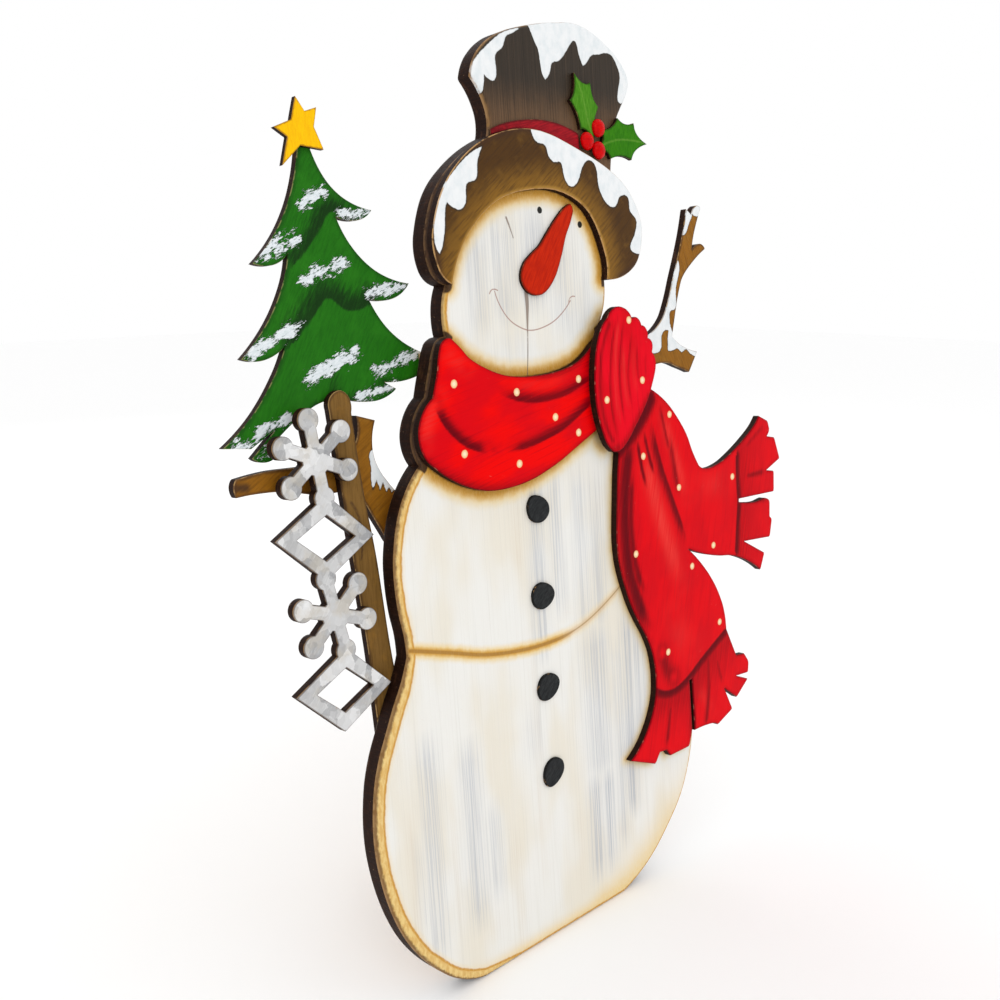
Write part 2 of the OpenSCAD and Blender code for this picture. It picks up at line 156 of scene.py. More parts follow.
def inside(at, pieces):
    """True where a place lies inside the closed loops. Places are taken in bands from low to high."""
    starts, ends = pieces
    found = np.zeros(len(at), bool)
    low, high = np.minimum(starts[:, 1], ends[:, 1]), np.maximum(starts[:, 1], ends[:, 1])
    order = np.argsort(at[:, 1])
    for first in range(0, len(at), 400):
        band = order[first:first + 400]
        x, y = at[band, 0, None], at[band, 1, None]
        crossed = (low <= y.max()) & (high >= y.min()) & (low < high)
        a, b = starts[crossed], ends[crossed]
        spans = (a[:, 1] > y) != (b[:, 1] > y)
        crossing = a[:, 0] + (y - a[:, 1]) / (b[:, 1] - a[:, 1]) * (b[:, 0] - a[:, 0])
        found[band] = (spans & (x < crossing)).sum(1) % 2 == 1
    return found


def patch(at, points, step=3.0):
    """Signed distance to a painted patch with a smooth outline: negative inside."""
    pieces = chain(brushed(points, step), closed=True)
    return np.where(inside(at, pieces), -1, 1) * nearest(at, pieces)[0]


def stroke(at, points, left, right, strength=1.0, taper=0.0):
    """A brush stroke's weight: full on the line, fading out over a reach on each side. With a taper
    it also fades out over that length towards both ends."""
    distance, side = nearest(at, chain(open_smooth(points, 4.0)))
    weight = strength * np.exp(-(distance / np.where(side > 0, left, right)) ** 2)
    if taper:
        ends = np.asarray([points[0], points[-1]], float)
        to_end = np.sqrt(((at[:, None] - ends[None]) ** 2).sum(2)).min(1)
        weight = weight * np.clip(to_end / taper, 0, 1)
    return weight


def line(at, points):
    return nearest(at, chain(open_smooth(points, 3.0)))[0]


def dots(at, centres, radius):
    centres = np.asarray(centres, float)
    return np.sqrt(((at[:, None] - centres[None]) ** 2).sum(2)).min(1) - radius


# ---------- Smooth outlines ----------

def unit(v):
    return v / np.maximum(np.linalg.norm(v, axis=-1, keepdims=True), 1e-9)


def hermite(a, b, heading_a, heading_b, step):
    """Points from a towards b, leaving out b, on a curve with the given headings."""
    reach = np.linalg.norm(b - a)
    t = np.linspace(0, 1, max(1, round(reach / step)) + 1)[:-1, None]
    return ((2 * t ** 3 - 3 * t ** 2 + 1) * a + (t ** 3 - 2 * t ** 2 + t) * reach * heading_a
            + (3 * t ** 2 - 2 * t ** 3) * b + (t ** 3 - t ** 2) * reach * heading_b)


def open_smooth(points, step):
    p = np.asarray(points, float)
    if len(p) == 2:
        heading = np.repeat([unit(p[1] - p[0])], 2, axis=0)
    else:
        inner = unit(p[2:] - p[:-2])
        first, last = unit(p[1] - p[0]), unit(p[-1] - p[-2])
        heading = np.vstack([2 * (inner[0] @ first) * first - inner[0], inner,
                             2 * (inner[-1] @ last) * last - inner[-1]])
    parts = [hermite(p[i], p[i + 1], heading[i], heading[i + 1], step) for i in range(len(p) - 1)]
    return np.vstack(parts + [p[-1:]])


def smooth(points, step, corner=math.radians(19), longest=25.5):
    """A closed outline through all its points, smooth between its corners and its long straights.
    The limits of 19 degrees and 25.5 mm suit the facets of the CAD outlines."""
    p = np.asarray(points, float)
    after, before = np.roll(p, -1, axis=0) - p, p - np.roll(p, 1, axis=0)
    turned = np.arccos(np.clip((unit(after) * unit(before)).sum(1), -1, 1))
    long_side = np.linalg.norm(after, axis=1) > longest
    sharp = np.flatnonzero((turned > corner) | long_side | np.roll(long_side, 1))
    if not len(sharp):
        heading = unit(np.roll(p, -1, axis=0) - np.roll(p, 1, axis=0))
        return np.vstack([hermite(p[i - 1], p[i], heading[i - 1], heading[i], step)
                          for i in range(len(p))])
    p = np.roll(p, -sharp[0], axis=0)
    stops = list(sharp - sharp[0]) + [len(p)]
    p = np.vstack([p, p[:1]])
    return np.vstack([open_smooth(p[a:b + 1], step)[:-1] for a, b in zip(stops, stops[1:])])


def brushed(points, step=3.0):
    """A painted patch's outline through listed points. A brush rounds everything but the sharpest corners."""
    return smooth(points, step, corner=math.radians(88), longest=math.inf)


# ---------- Reading the CAD boards ----------

def welded(node):
    """A working copy of a CAD node's mesh, with the corners that its faces share made one."""
    bm = bmesh.new()
    bm.from_mesh(frame["nodes"][node].data)
    bmesh.ops.remove_doubles(bm, verts=bm.verts, dist=CAD_WELD)
    bm.verts.index_update()
    return bm


def front_loops(node):
    """Outlines of a board's front face, with its front and back depth. Screw holes are left out."""
    bm = welded(node)
    flat = FRONT.flat([v.co for v in bm.verts])
    front, back = flat[:, 1].min(), flat[:, 1].max()
    on_front = np.abs(flat[:, 1] - front) < TOUCHING
    faces = [f for f in bm.faces if all(on_front[v.index] for v in f.verts)]
    directed = {(a.vert.index, a.link_loop_next.vert.index) for f in faces for a in f.loops}
    onward = {a: b for a, b in directed if (b, a) not in directed}
    bm.free()
    loops = []
    while onward:
        loop, at = [], next(iter(onward))
        while at in onward:
            loop.append(at)
            at = onward.pop(at)
        points = flat[loop][:, [0, 2]]
        if np.linalg.norm(np.roll(points, -1, axis=0) - points, axis=1).sum() > SHORTEST_OUTLINE:
            loops.append(without_straights(points))
    return loops, front, back


def without_straights(points):
    """Drops the points that lie in the middle of a straight side."""
    after, before = unit(np.roll(points, -1, axis=0) - points), unit(points - np.roll(points, 1, axis=0))
    return points[np.abs(after[:, 0] * before[:, 1] - after[:, 1] * before[:, 0]) > 2e-3]


def loose_parts(node):
    """The points of each separate solid in a node, on the board's plane, in the same order each run."""
    bm = welded(node)
    left, found = dict.fromkeys(bm.verts), []
    while left:
        front, part = [left.popitem()[0]], []
        while front:
            v = front.pop()
            part.append(tuple(v.co))
            for other in [e.other_vert(v) for e in v.link_edges]:
                if other in left:
                    del left[other]
                    front.append(other)
        found.append(FRONT.flat(part))
    bm.free()
    return found


# ---------- Building meshes ----------

def together(loops):
    starts, ends = zip(*(chain(p, closed=True) for p in loops))
    return np.vstack(starts), np.vstack(ends)


def left_of(directions):
    """Unit vectors to the left of the given directions."""
    ahead = unit(directions)
    return np.column_stack([-ahead[:, 1], ahead[:, 0]])


def circle(sides):
    turn = np.linspace(0, 2 * math.pi, sides, endpoint=False)
    return np.column_stack([np.cos(turn), np.sin(turn)])


def level(points, depth):
    """Places on the plane at a depth, as three coordinates."""
    return np.column_stack([points[:, 0], np.broadcast_to(depth, len(points)), points[:, 1]])


def walls(first, rows, sides):
    """Four-sided faces between rows of points that follow each other in a list."""
    ahead = np.arange(sides)
    after = (ahead + 1) % sides
    starts = first + sides * np.arange(rows - 1)
    return [face for a in starts for face in
            np.column_stack([a + ahead, a + sides + ahead, a + sides + after, a + after]).tolist()]


def beside(lines, offsets=(0, 1.1, -1.1, 2.6, -2.6), closed=False):
    """Points along painted lines and beside them, so that a thin line stays thin on the mesh."""
    points = []
    for given in lines:
        p = brushed(given, DETAIL_STEP) if closed else open_smooth(given, DETAIL_STEP)
        points += [p + offset * left_of(np.gradient(p, axis=0)) for offset in offsets]
    return np.vstack(points)


def round_about(centres, radius):
    """Points on and beside small painted circles."""
    return np.vstack([np.array(c) + circle(18) * (radius + extra)
                      for c in centres for extra in (-0.9, 0.1, 1.1)])


def rings_inside(loops, outline, depths):
    """Copies of the loops moved inwards by each depth. Points of a copy that come nearer to the
    outline than that, as beside a corner, are left out."""
    for depth in depths:
        for loop in loops:
            inwards = depth * left_of(np.roll(loop, -1, axis=0) - np.roll(loop, 1, axis=0))
            if not inside((loop + inwards)[:1], outline)[0]:
                inwards = -inwards
            moved = loop + inwards
            yield moved[inside(moved, outline) & (nearest(moved, outline)[0] > NEAR_DEPTH * depth)]


def grid_inside(corners, outline, spacing, margin):
    """A slightly disturbed grid of triangles, away from the outline by more than a margin."""
    low, high = corners.min(0), corners.max(0)
    x, y = np.meshgrid(np.arange(low[0], high[0], spacing),
                       np.arange(low[1], high[1], spacing * TRIANGLE_HEIGHT))
    x = x + (np.arange(x.shape[0])[:, None] % 2) * spacing / 2
    grid = np.column_stack([x.ravel(), y.ravel()])
    grid = grid + rng.uniform(-GRID_SHIFT, GRID_SHIFT, grid.shape) * spacing
    grid = grid[inside(grid, outline)]
    return grid[nearest(grid, outline)[0] > margin]


def cap(loops, spacing=None, rings=(), detail=None):
    """A flat mesh inside the loops. Points follow the outline in rings, then fill a grid.
    detail adds points where something thin is painted."""
    outline = together(loops)
    points, edges, count = [np.vstack(loops)], [], 0
    for loop in loops:
        n = len(loop)
        edges += [(count + i, count + (i + 1) % n) for i in range(n)]
        count += n
    points += rings_inside(loops, outline, rings)
    if spacing:
        grid = grid_inside(points[0], outline, spacing, rings[-1] + GRID_MARGIN * spacing)
        if detail is not None:
            detail = detail[inside(detail, outline)]
            detail = detail[nearest(detail, outline)[0] > DETAIL_MARGIN]
            grid = grid[nearest(grid, (detail, detail))[0] > DETAIL_ROOM * spacing]
            points.append(detail)
        points.append(grid)
    result = delaunay_2d_cdt([Vector(p) for p in np.vstack(points)], edges, [], 0, 1e-5)
    corners, triangles = np.array([list(p) for p in result[0]]), np.array(result[2])
    triangles = triangles[inside(corners[triangles].mean(1), outline)]
    a, b, c = (corners[triangles[:, i]] for i in range(3))
    clockwise = np.cross(b - a, c - a) < 0
    triangles[clockwise] = triangles[clockwise][:, ::-1]
    return corners, triangles


def rounded(distance, radius):
    """How far a rounded edge falls away at a distance from the outline."""
    d = np.clip(radius - distance, 0, radius)
    return radius - np.sqrt(np.maximum(radius ** 2 - d ** 2, 0))


def board(name, node, materials, fields=None, spacing=2.2, radius=1.2, back_radius=0.7, seam=None,
          floor=False, outline_step=2.5, detail=None):
    """Replaces a CAD board by a finely meshed one with rounded arrises and painted fields.

    materials are for the front, the sawn edges and the back. fields maps a name to a function of
    places on the plane. seam is the across position of a glued joint, which isn't rounded."""
    found, front, back = front_loops(node)
    loops = [smooth(points, outline_step) for points in found]
    open_edges = together(loops)
    if seam is not None:
        glued = np.all([np.abs(ends[:, 0] - seam) < TOUCHING for ends in open_edges], axis=0)
        open_edges = [ends[~glued] for ends in open_edges]

    def edge_of(at):
        return nearest(at, open_edges)[0]

    def top_and_bottom(at):
        edge = edge_of(at)
        return front + rounded(edge, radius), back - rounded(edge, back_radius)

    rings = [radius * share for share in ARRIS_RINGS]
    if spacing and spacing > 2 * radius:
        rings.append(radius + spacing * 0.5)
    flat_front, front_faces = cap(loops, spacing, rings, detail)
    flat_back, back_faces = cap(loops, BACK_SPACING, [0.3 * back_radius, back_radius])
    places = [level(flat_front, top_and_bottom(flat_front)[0]),
              level(flat_back, top_and_bottom(flat_back)[1])]
    base = len(flat_front) + len(flat_back)
    sides = []
    for loop in loops:
        top, bottom = top_and_bottom(loop)
        places += [level(loop, top + (bottom - top) * share) for share in WALL_ROWS]
        sides += walls(base, len(WALL_ROWS), len(loop))
        base += len(WALL_ROWS) * len(loop)
    places = np.vstack(places)
    if floor:
        places[:, 2] = np.maximum(places[:, 2], places[:, 1] * math.tan(LEAN))
    faces = front_faces.tolist() + (back_faces[:, ::-1] + len(flat_front)).tolist() + sides
    kinds = np.repeat([FRONT_SLOT, BACK_SLOT, SIDE_SLOT],
                      [len(front_faces), len(back_faces), len(sides)])
    replace(name, node, places, faces, materials, kinds, edge_of, fields)


def far(at):
    """A distance from the outline at which nothing is rubbed or stained."""
    return np.full(len(at), 50.0)


def replace(name, node, places, faces, materials, kinds=0, edge_of=far, fields=None, sharp=38):
    """Makes a welded mesh with its fields stored on it, and puts it in a CAD node's place."""
    mesh = bpy.data.meshes.new(name)
    mesh.from_pydata(FRONT.world(places).tolist(), [], faces)
    for material in materials:
        mesh.materials.append(material)
    mesh.polygons.foreach_set("material_index", np.zeros(len(faces), np.int32) + kinds)
    bm = bmesh.new()
    bm.from_mesh(mesh)
    bmesh.ops.remove_doubles(bm, verts=bm.verts, dist=WELD)
    bmesh.ops.recalc_face_normals(bm, faces=bm.faces)
    bm.to_mesh(mesh)
    bm.free()
    flat = FRONT.flat([v.co for v in mesh.vertices])
    store(mesh, "board", flat, "FLOAT_VECTOR")
    store(mesh, "edge", edge_of(flat[:, [0, 2]]))
    store(mesh, "behind", flat[:, 1] - places[:, 1].min())
    for field, values in (fields or {}).items():
        store(mesh, field, values(flat[:, [0, 2]]))
    hand_over(mesh, node, FIGURE, sharp)


def store(mesh, name, values, kind="FLOAT"):
    data = mesh.attributes.new(name, kind, "POINT").data
    data.foreach_set("vector" if kind == "FLOAT_VECTOR" else "value",
                     np.asarray(values, np.float32).ravel())


def hand_over(mesh, node, body, sharp):
    """The finished piece rides on its body and stands for its CAD node, which is hidden."""
    mesh.shade_smooth()
    mesh.set_sharp_from_angle(angle=math.radians(sharp))
    piece = bpy.data.objects.new(mesh.name, mesh)
    bpy.context.scene.collection.objects.link(piece)
    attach(piece, body)
    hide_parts(node)
    slots[node]


# ---------- Material graphs ----------

class Signal:
    """One value in a material's node graph, which sums like a number."""

    def __init__(self, paint, socket):
        self.paint, self.socket = paint, socket

    def __add__(self, other):
        return self.paint.math("ADD", self, other)

    def __sub__(self, other):
        return self.paint.math("SUBTRACT", self, other)

    def __rsub__(self, other):
        return self.paint.math("SUBTRACT", other, self)

    def __mul__(self, other):
        return self.paint.math("MULTIPLY", self, other)

    def most(self, other):
        return self.paint.math("MAXIMUM", self, other)

    def fade(self, none, full):
        """0 at one value and 1 at the other, with a soft change between them."""
        return self.paint.add("ShaderNodeMapRange", "Result",
                              {"Value": self, "From Min": none, "From Max": full},
                              interpolation_type="SMOOTHSTEP")


class Paint:
    """A material's graph, with the colour and the relief laid on so far. Sizes are board millimetres."""

    def __init__(self, name):
        self.material = bpy.data.materials.new(name)
        self.material.use_nodes = True
        self.tree = self.material.node_tree
        self.tree.nodes.clear()
        self.fields = {}
        self.seed = 0
        self.colour = self.normal = None

    def add(self, kind, output, inputs, **settings):
        """Adds a node, sets or joins its inputs, and gives one of its outputs as a signal."""
        node = self.tree.nodes.new(kind)
        for key, value in settings.items():
            setattr(node, key, value)
        for key, value in inputs.items():
            self.join(node.inputs[key], value)
        return Signal(self, node.outputs[output])

    def join(self, socket, value):
        if isinstance(value, Signal):
            self.tree.links.new(value.socket, socket)
        elif socket.type == "RGBA":
            socket.default_value = (*value, 1)
        else:
            socket.default_value = value

    def math(self, operation, a, b):
        return self.add("ShaderNodeMath", 0, {0: a, 1: b}, operation=operation)

    def __getitem__(self, name):
        """A field stored on the mesh."""
        if name not in self.fields:
            output = "Vector" if name == "board" else "Fac"
            self.fields[name] = self.add("ShaderNodeAttribute", output, {}, attribute_name=name)
        return self.fields[name]

    def part(self, axis):
        """One coordinate on the board: X across or Z up."""
        return self.add("ShaderNodeSeparateXYZ", axis, {0: self["board"]})

    def place(self, across, depth, up, turned=0.0):
        """Board coordinates scaled so that one unit is the given size in each direction. Each call
        moves further along, so that no two patterns of a material are alike."""
        self.seed += 1
        offset = PATTERN_STEP * self.seed
        return self.add("ShaderNodeMapping", 0,
                        {"Vector": self["board"], "Rotation": (0, turned, 0),
                         "Scale": (across, depth, up),
                         "Location": (offset * across, 0, offset * up * PATTERN_RISE)},
                        vector_type="TEXTURE")

    def noise(self, across, up=None, depth=None, detail=4.0, rough=0.55, turned=0.0):
        """Noise from 0 to 1 with blotches of about the given sizes."""
        at = self.place(across, depth or across, up or across, turned)
        return self.add("ShaderNodeTexNoise", "Fac",
                        {"Vector": at, "Scale": 1.0, "Detail": detail, "Roughness": rough},
                        noise_dimensions="3D")

    def wobble(self, size, reach, detail=3.0, up=None):
        """Noise that shifts a value up or down by up to half the reach."""
        return (self.noise(size, up, detail=detail) - 0.5) * reach

    def cells(self, size, output, twist):
        """Voronoi cells of about the given size, their borders bent by twist millimetres."""
        at = self.place(size, size, size)
        bend = self.add("ShaderNodeTexNoise", "Color",
                        {"Vector": self.place(twist, twist, twist), "Scale": 1.0})
        shifted = self.add("ShaderNodeVectorMath", 0, {0: at, 1: bend}, operation="ADD")
        bent = self.add("ShaderNodeMix", 1, {0: twist / size, 4: at, 5: shifted},
                        data_type="VECTOR", clamp_factor=False)
        return self.add("ShaderNodeTexVoronoi", output, {"Vector": bent, "Scale": 1.0}, feature="F1")

    def rings(self, along, pith):
        """Growth rings of a log that runs along the given axis, cut by the board."""
        scale = [RING_STRETCH if axis == along else 1.0 for axis in "XYZ"]
        at = self.add("ShaderNodeMapping", 0,
                      {"Vector": self["board"], "Scale": scale, "Location": (*pith, 0.0)},
                      vector_type="TEXTURE")
        return self.add("ShaderNodeTexWave", "Fac",
                        {"Vector": at, "Scale": 0.32, "Distortion": 9.0, "Detail": 3.0,
                         "Detail Scale": 0.35},
                        wave_type="RINGS", rings_direction=along, wave_profile="SAW")

    def mix(self, share, a, b):
        return self.add("ShaderNodeMix", 2, {0: share, 6: a, 7: b}, data_type="RGBA", clamp_factor=True)

    def lay(self, share, colour):
        """Lays a colour over the paint so far, where share is more than 0."""
        self.colour = self.mix(share, self.colour, colour)

    def shades(self, value, *stops):
        """A colour ramp: each stop is a place from 0 to 1 and a colour."""
        shown = self.add("ShaderNodeValToRGB", 0, {0: value})
        ramp = shown.socket.node.color_ramp
        while len(ramp.elements) < len(stops):
            ramp.elements.new(0.5)
        for element, (place, colour) in zip(ramp.elements, stops):
            element.position = place
            element.color = (*colour, 1)
        return shown

    def bump(self, height, depth):
        """Raises the surface by up to depth, in millimetres."""
        inputs = {"Strength": 1.0, "Distance": depth * MM, "Height": height}
        if self.normal:
            inputs["Normal"] = self.normal
        self.normal = self.add("ShaderNodeBump", 0, inputs)

    def done(self, roughness, specular=0.5, metallic=0.0):
        """Joins the colour and relief to a shader and gives the material."""
        surface = self.add("ShaderNodeBsdfPrincipled", 0,
                           {"Base Color": self.colour, "Roughness": roughness, "Metallic": metallic,
                            "Normal": self.normal, "Specular IOR Level": specular})
        output = self.tree.nodes.new("ShaderNodeOutputMaterial")
        self.join(output.inputs["Surface"], surface)
        return self.material


# ---------- Colours, as linear light ----------

CREAM = (0.80, 0.755, 0.655)
MILK = (0.83, 0.82, 0.78)
SLATE = (0.43, 0.455, 0.505)
TAN = (0.62, 0.49, 0.34)
GOLD = (0.56, 0.255, 0.014)
PALE_GOLD = (0.82, 0.585, 0.20)
UMBER = (0.13, 0.055, 0.012)
ESPRESSO = (0.014, 0.0055, 0.0035)
RUBBED = (0.42, 0.24, 0.10)
SNOW = (0.83, 0.85, 0.86)
RED = (0.86, 0.0, 0.0)
KNOT_RED = (0.80, 0.0, 0.012)
TAIL_RED = (0.75, 0.0, 0.005)
CRIMSON = (0.30, 0.0, 0.004)
MAROON = (0.075, 0.0, 0.004)
ROSE = (0.84, 0.050, 0.040)
DOT = (0.93, 0.80, 0.55)
EARLY_WOOD, LATE_WOOD = (0.66, 0.46, 0.25), (0.40, 0.215, 0.085)


def grey(value):
    return (value, value, value)


# ---------- Painted finishes ----------

def arris_rub(p, reach, share):
    """Where the paint is rubbed through along the front arris."""
    worn = p.noise(9).fade(share, share + 0.12)
    return p["edge"].fade(reach, reach * 0.2) * worn


def sawn_edge(name="edge_paint", dark=ESPRESSO, light=(0.034, 0.013, 0.007)):
    """Dark stained sawn edge: saw marks across it, and a lighter tan line along the front arris."""
    p = Paint(name)
    marks = p.noise(1.6, 1.6, 14, detail=3)
    blotches = p.noise(16, 16, 7)
    p.colour = p.mix(marks.fade(0.38, 0.7) * 0.6, dark, light)
    p.lay(blotches.fade(0.56, 0.74) * 0.45, (0.085, 0.034, 0.016))
    near = p["behind"].fade(1.35, 0.75) * p.noise(9, 9, 2).fade(0.40, 0.52)
    p.lay(near * 0.75, (0.36, 0.20, 0.075))
    chips = p.noise(3.2, detail=2).fade(0.70, 0.74)
    p.lay(chips * 0.35, (0.30, 0.18, 0.09))
    p.bump(marks, 0.35)
    p.bump(blotches, 0.5)
    return p.done(marks.fade(0, 1) * 0.2 + 0.5, specular=0.07)


def bare_pine(name, along="Z", tint=(1.0, 1.0, 1.0), stained=False, pith=(0, 0)):
    """Planed pine: growth rings round a pith given across and in depth, fibres, knots and grime."""
    p = Paint(name)
    up, across = (60, 0.8) if along == "Z" else (0.8, 60)
    ring = p.rings(along, pith)
    fibre = p.noise(across, up, 0.8, rough=0.65)
    light, dark = (tuple(a * b for a, b in zip(wood, tint)) for wood in (EARLY_WOOD, LATE_WOOD))
    p.colour = p.mix(ring.fade(0.10, 1.0) * 0.95, light, dark)
    p.lay(fibre.fade(0.45, 0.75) * 0.35, dark)
    knot = p.cells(110, "Distance", twist=40) + p.wobble(9, 0.035)
    p.lay(knot.fade(0.17, 0.07) * 0.5, dark)
    p.lay(knot.fade(0.075, 0.045) * 0.85, (0.13, 0.050, 0.018))
    p.lay(p.noise(45).fade(0.45, 0.75) * 0.35, (0.34, 0.24, 0.15))
    if stained:
        seam = p.part("X")
        glue = (seam * seam + p.wobble(6, 0.5)).fade(0.5, 0.1)
        p.lay(glue * 0.8, (0.10, 0.05, 0.022))
        spill = (p["edge"] + p.noise(7) * 9 - 4.5).fade(6.5, 0.5)
        p.lay(spill * 0.9, ESPRESSO)
    p.bump(fibre, 0.16)
    p.bump(ring, 0.12)
    return p.done(fibre.fade(0, 1) * 0.15 + 0.55, specular=0.3)


def steel():
    """Zinc-plated screws and pin."""
    p = Paint("zinc_steel")
    grain = p.noise(0.6, detail=3)
    cloud = p.noise(3, detail=3)
    p.colour = p.shades(cloud, (0.3, (0.42, 0.41, 0.38)), (0.7, (0.68, 0.67, 0.62)))
    p.bump(grain, 0.03)
    return p.done(grain.fade(0, 1) * 0.2 + 0.28, metallic=1.0)


def snow_over(p, outline_reach, ragged=1.4):
    """Lays thick white paint where the snow field is negative, with a dark line round its drips, and
    gives its height."""
    snow = p["snow"] + p.wobble(3.2, ragged)
    p.lay(snow.fade(outline_reach, 0.4) * 0.75, (0.03, 0.022, 0.014))
    cloud = p.noise(9, 13)
    white = p.shades(cloud, (0.30, (0.72, 0.77, 0.79)), (0.55, SNOW), (0.8, (0.88, 0.89, 0.89)))
    p.lay(snow.fade(0.35, -0.35), white)
    p.lay(p["edge"].fade(1.25, 0.35) * p.noise(8).fade(0.36, 0.52) * 0.62, (0.20, 0.105, 0.045))
    return snow.fade(0.9, -0.9)


def cream_board():
    """The body, face and crown. Each step passes on the patterns that later ones use again."""
    p = Paint("cream_paint")
    streaks, hairs = milky_streaks(p)
    wobble, fine = golden_rims(p)
    strip = face_and_shadows(p, fine)
    body = p.colour
    hat = p.part("Z").fade(CROWN_FROM, CROWN_FROM + 1)
    snow_height = crown_paint(p, streaks, hairs, wobble, strip)
    p.colour = p.mix(hat, body, p.colour)
    p.lay((p["eyes"] + p.wobble(2, 1.0)).fade(0.35, -0.35), (0.012, 0.012, 0.010))
    p.lay(arris_rub(p, 0.9, 0.40) * (1 - strip * 0.7) * 0.55, RUBBED)
    p.bump(p.noise(1, 70, rough=0.62), 0.16)
    p.bump(streaks, 0.18)
    p.bump(snow_height * hat, 0.55)
    p.bump(p["crack"].fade(0.6, -0.5), -0.5)
    return p.done(hairs.fade(0, 1) * 0.18 + 0.42, specular=0.2)


def milky_streaks(p):
    """Milky paint with blue-grey and tan streaks along the boards."""
    bands = p.noise(15, 330, detail=3)
    streaks = p.noise(2.1, 230, rough=0.62)
    hairs = p.noise(1.1, 130, rough=0.65)
    p.colour = p.mix(p.noise(60, 150, detail=2).fade(0.40, 0.66), MILK, CREAM)
    p.lay(streaks.fade(0.50, 0.72) * 0.30, (0.64, 0.62, 0.56))
    p.lay(bands.fade(0.58, 0.76) * 0.14, (0.70, 0.64, 0.54))
    lines = streaks.fade(0.42, 0.58) * 0.75 + 0.25
    p.lay(p["cool"] * lines * 0.85, SLATE)
    p.lay(p["tan"] * lines * 0.42, TAN)
    p.lay(hairs.fade(0.56, 0.76) * 0.30, (0.55, 0.54, 0.52))
    p.lay(hairs.fade(0.44, 0.24) * 0.40, (0.93, 0.93, 0.91))
    p.lay(p.noise(22, 1.3, detail=5, rough=0.7, turned=0.75).fade(0.67, 0.70) * 0.30, TAN)
    return streaks, hairs


def golden_rims(p):
    """Golden antiquing round the rims, below the waist line and beside the overlaid boards: a pale
    glow, a deep gold inside it, and dark stain at the very edge."""
    wobble = (p.noise(9, 12, detail=5, rough=0.62) - 0.5) * 9
    fine = p.noise(1.7, 5, rough=0.65)
    grit = fine.fade(0.25, 0.62) * 0.30 + 0.70
    edge, width, halo_and_contact_shade, waist, weight = (
        p[field] for field in ("edge", "rim", "halo_and_contact_shade", "waist", "waist_weight"))
    rim = edge + wobble * 0.35 - width
    glow = rim.fade(1.0, -1.0).most(rim.fade(6.5, 0.0) * 0.34)
    glow = glow.most((halo_and_contact_shade + wobble * 0.8).fade(21, 4)).most(p["base"] * grit)
    glow = glow.most((waist + wobble * 0.5).fade(11, 2.0) * weight)
    p.lay(glow * 0.92, PALE_GOLD)
    worn = p.noise(4, 9, rough=0.65).fade(0.40, 0.62)
    deep = rim.fade(0.5, -0.8) * (worn * 0.50 + 0.06)
    deep = deep.most(rim.fade(1.6, 0.2) * rim.fade(-2.6, -0.6))
    deep = deep.most((halo_and_contact_shade + wobble * 0.7).fade(13.0, 2.5))
    deep = deep.most((waist + wobble * 0.35).fade(5.5, 1.0) * weight)
    p.lay(deep * grit * 0.94, GOLD)
    stain = (edge + p.wobble(3, 4.2, detail=4, up=5) - width * 0.26).fade(1.0, -1.6)
    p.lay(stain * width.fade(0.5, 4) * 0.85, (0.13, 0.050, 0.014))
    core = (waist + (fine - 0.5) * 0.9 - p["waist_line"]).fade(0.9, -0.4)
    p.lay(core * 0.62, (0.30, 0.155, 0.035))
    return wobble, fine


def face_and_shadows(p, fine):
    """The crack, the smile and the painted contact shade: a dark line on the planks beside the
    overlaid boards. Gives the dark strip where such a board runs along the planks' edge."""
    halo_and_contact_shade = p["halo_and_contact_shade"]
    p.lay(p["crack"].fade(0.7, -0.5) * 0.82, (0.20, 0.135, 0.10))
    p.lay(p["smile"].fade(0.95, 0.25) * 0.72, (0.30, 0.115, 0.08))
    # Painted contact shade: a dark umber line on the planks right beside each overlaid board
    p.lay((halo_and_contact_shade + (p.noise(5, detail=3) - 0.5)).fade(1.4, 0.3) * 0.6, UMBER)
    strip = halo_and_contact_shade.fade(8.0, 6.0) * p["edge"].fade(8.0, 6.5)
    p.lay(strip * 0.95, p.mix(fine.fade(0.3, 0.7), (0.022, 0.009, 0.005), (0.060, 0.025, 0.010)))
    return strip


def crown_paint(p, streaks, hairs, wobble, strip):
    """The hat's crown above the brim, with its snow. Gives the snow's height."""
    upward = (p.part("Z") + wobble * 2).fade(812, 872)
    p.colour = p.mix(upward, (0.17, 0.088, 0.038), (0.034, 0.023, 0.014))
    p.lay(hairs.fade(0.42, 0.66) * 0.6, (0.013, 0.009, 0.006))
    p.lay(streaks.fade(0.52, 0.72) * 0.45, (0.125, 0.075, 0.042))
    rim = (p["edge"] + wobble * 0.25).fade(2.0, 0.3)
    p.lay(rim * 0.6 * (1 - strip), (0.34, 0.18, 0.05))
    return snow_over(p, outline_reach=1.6)


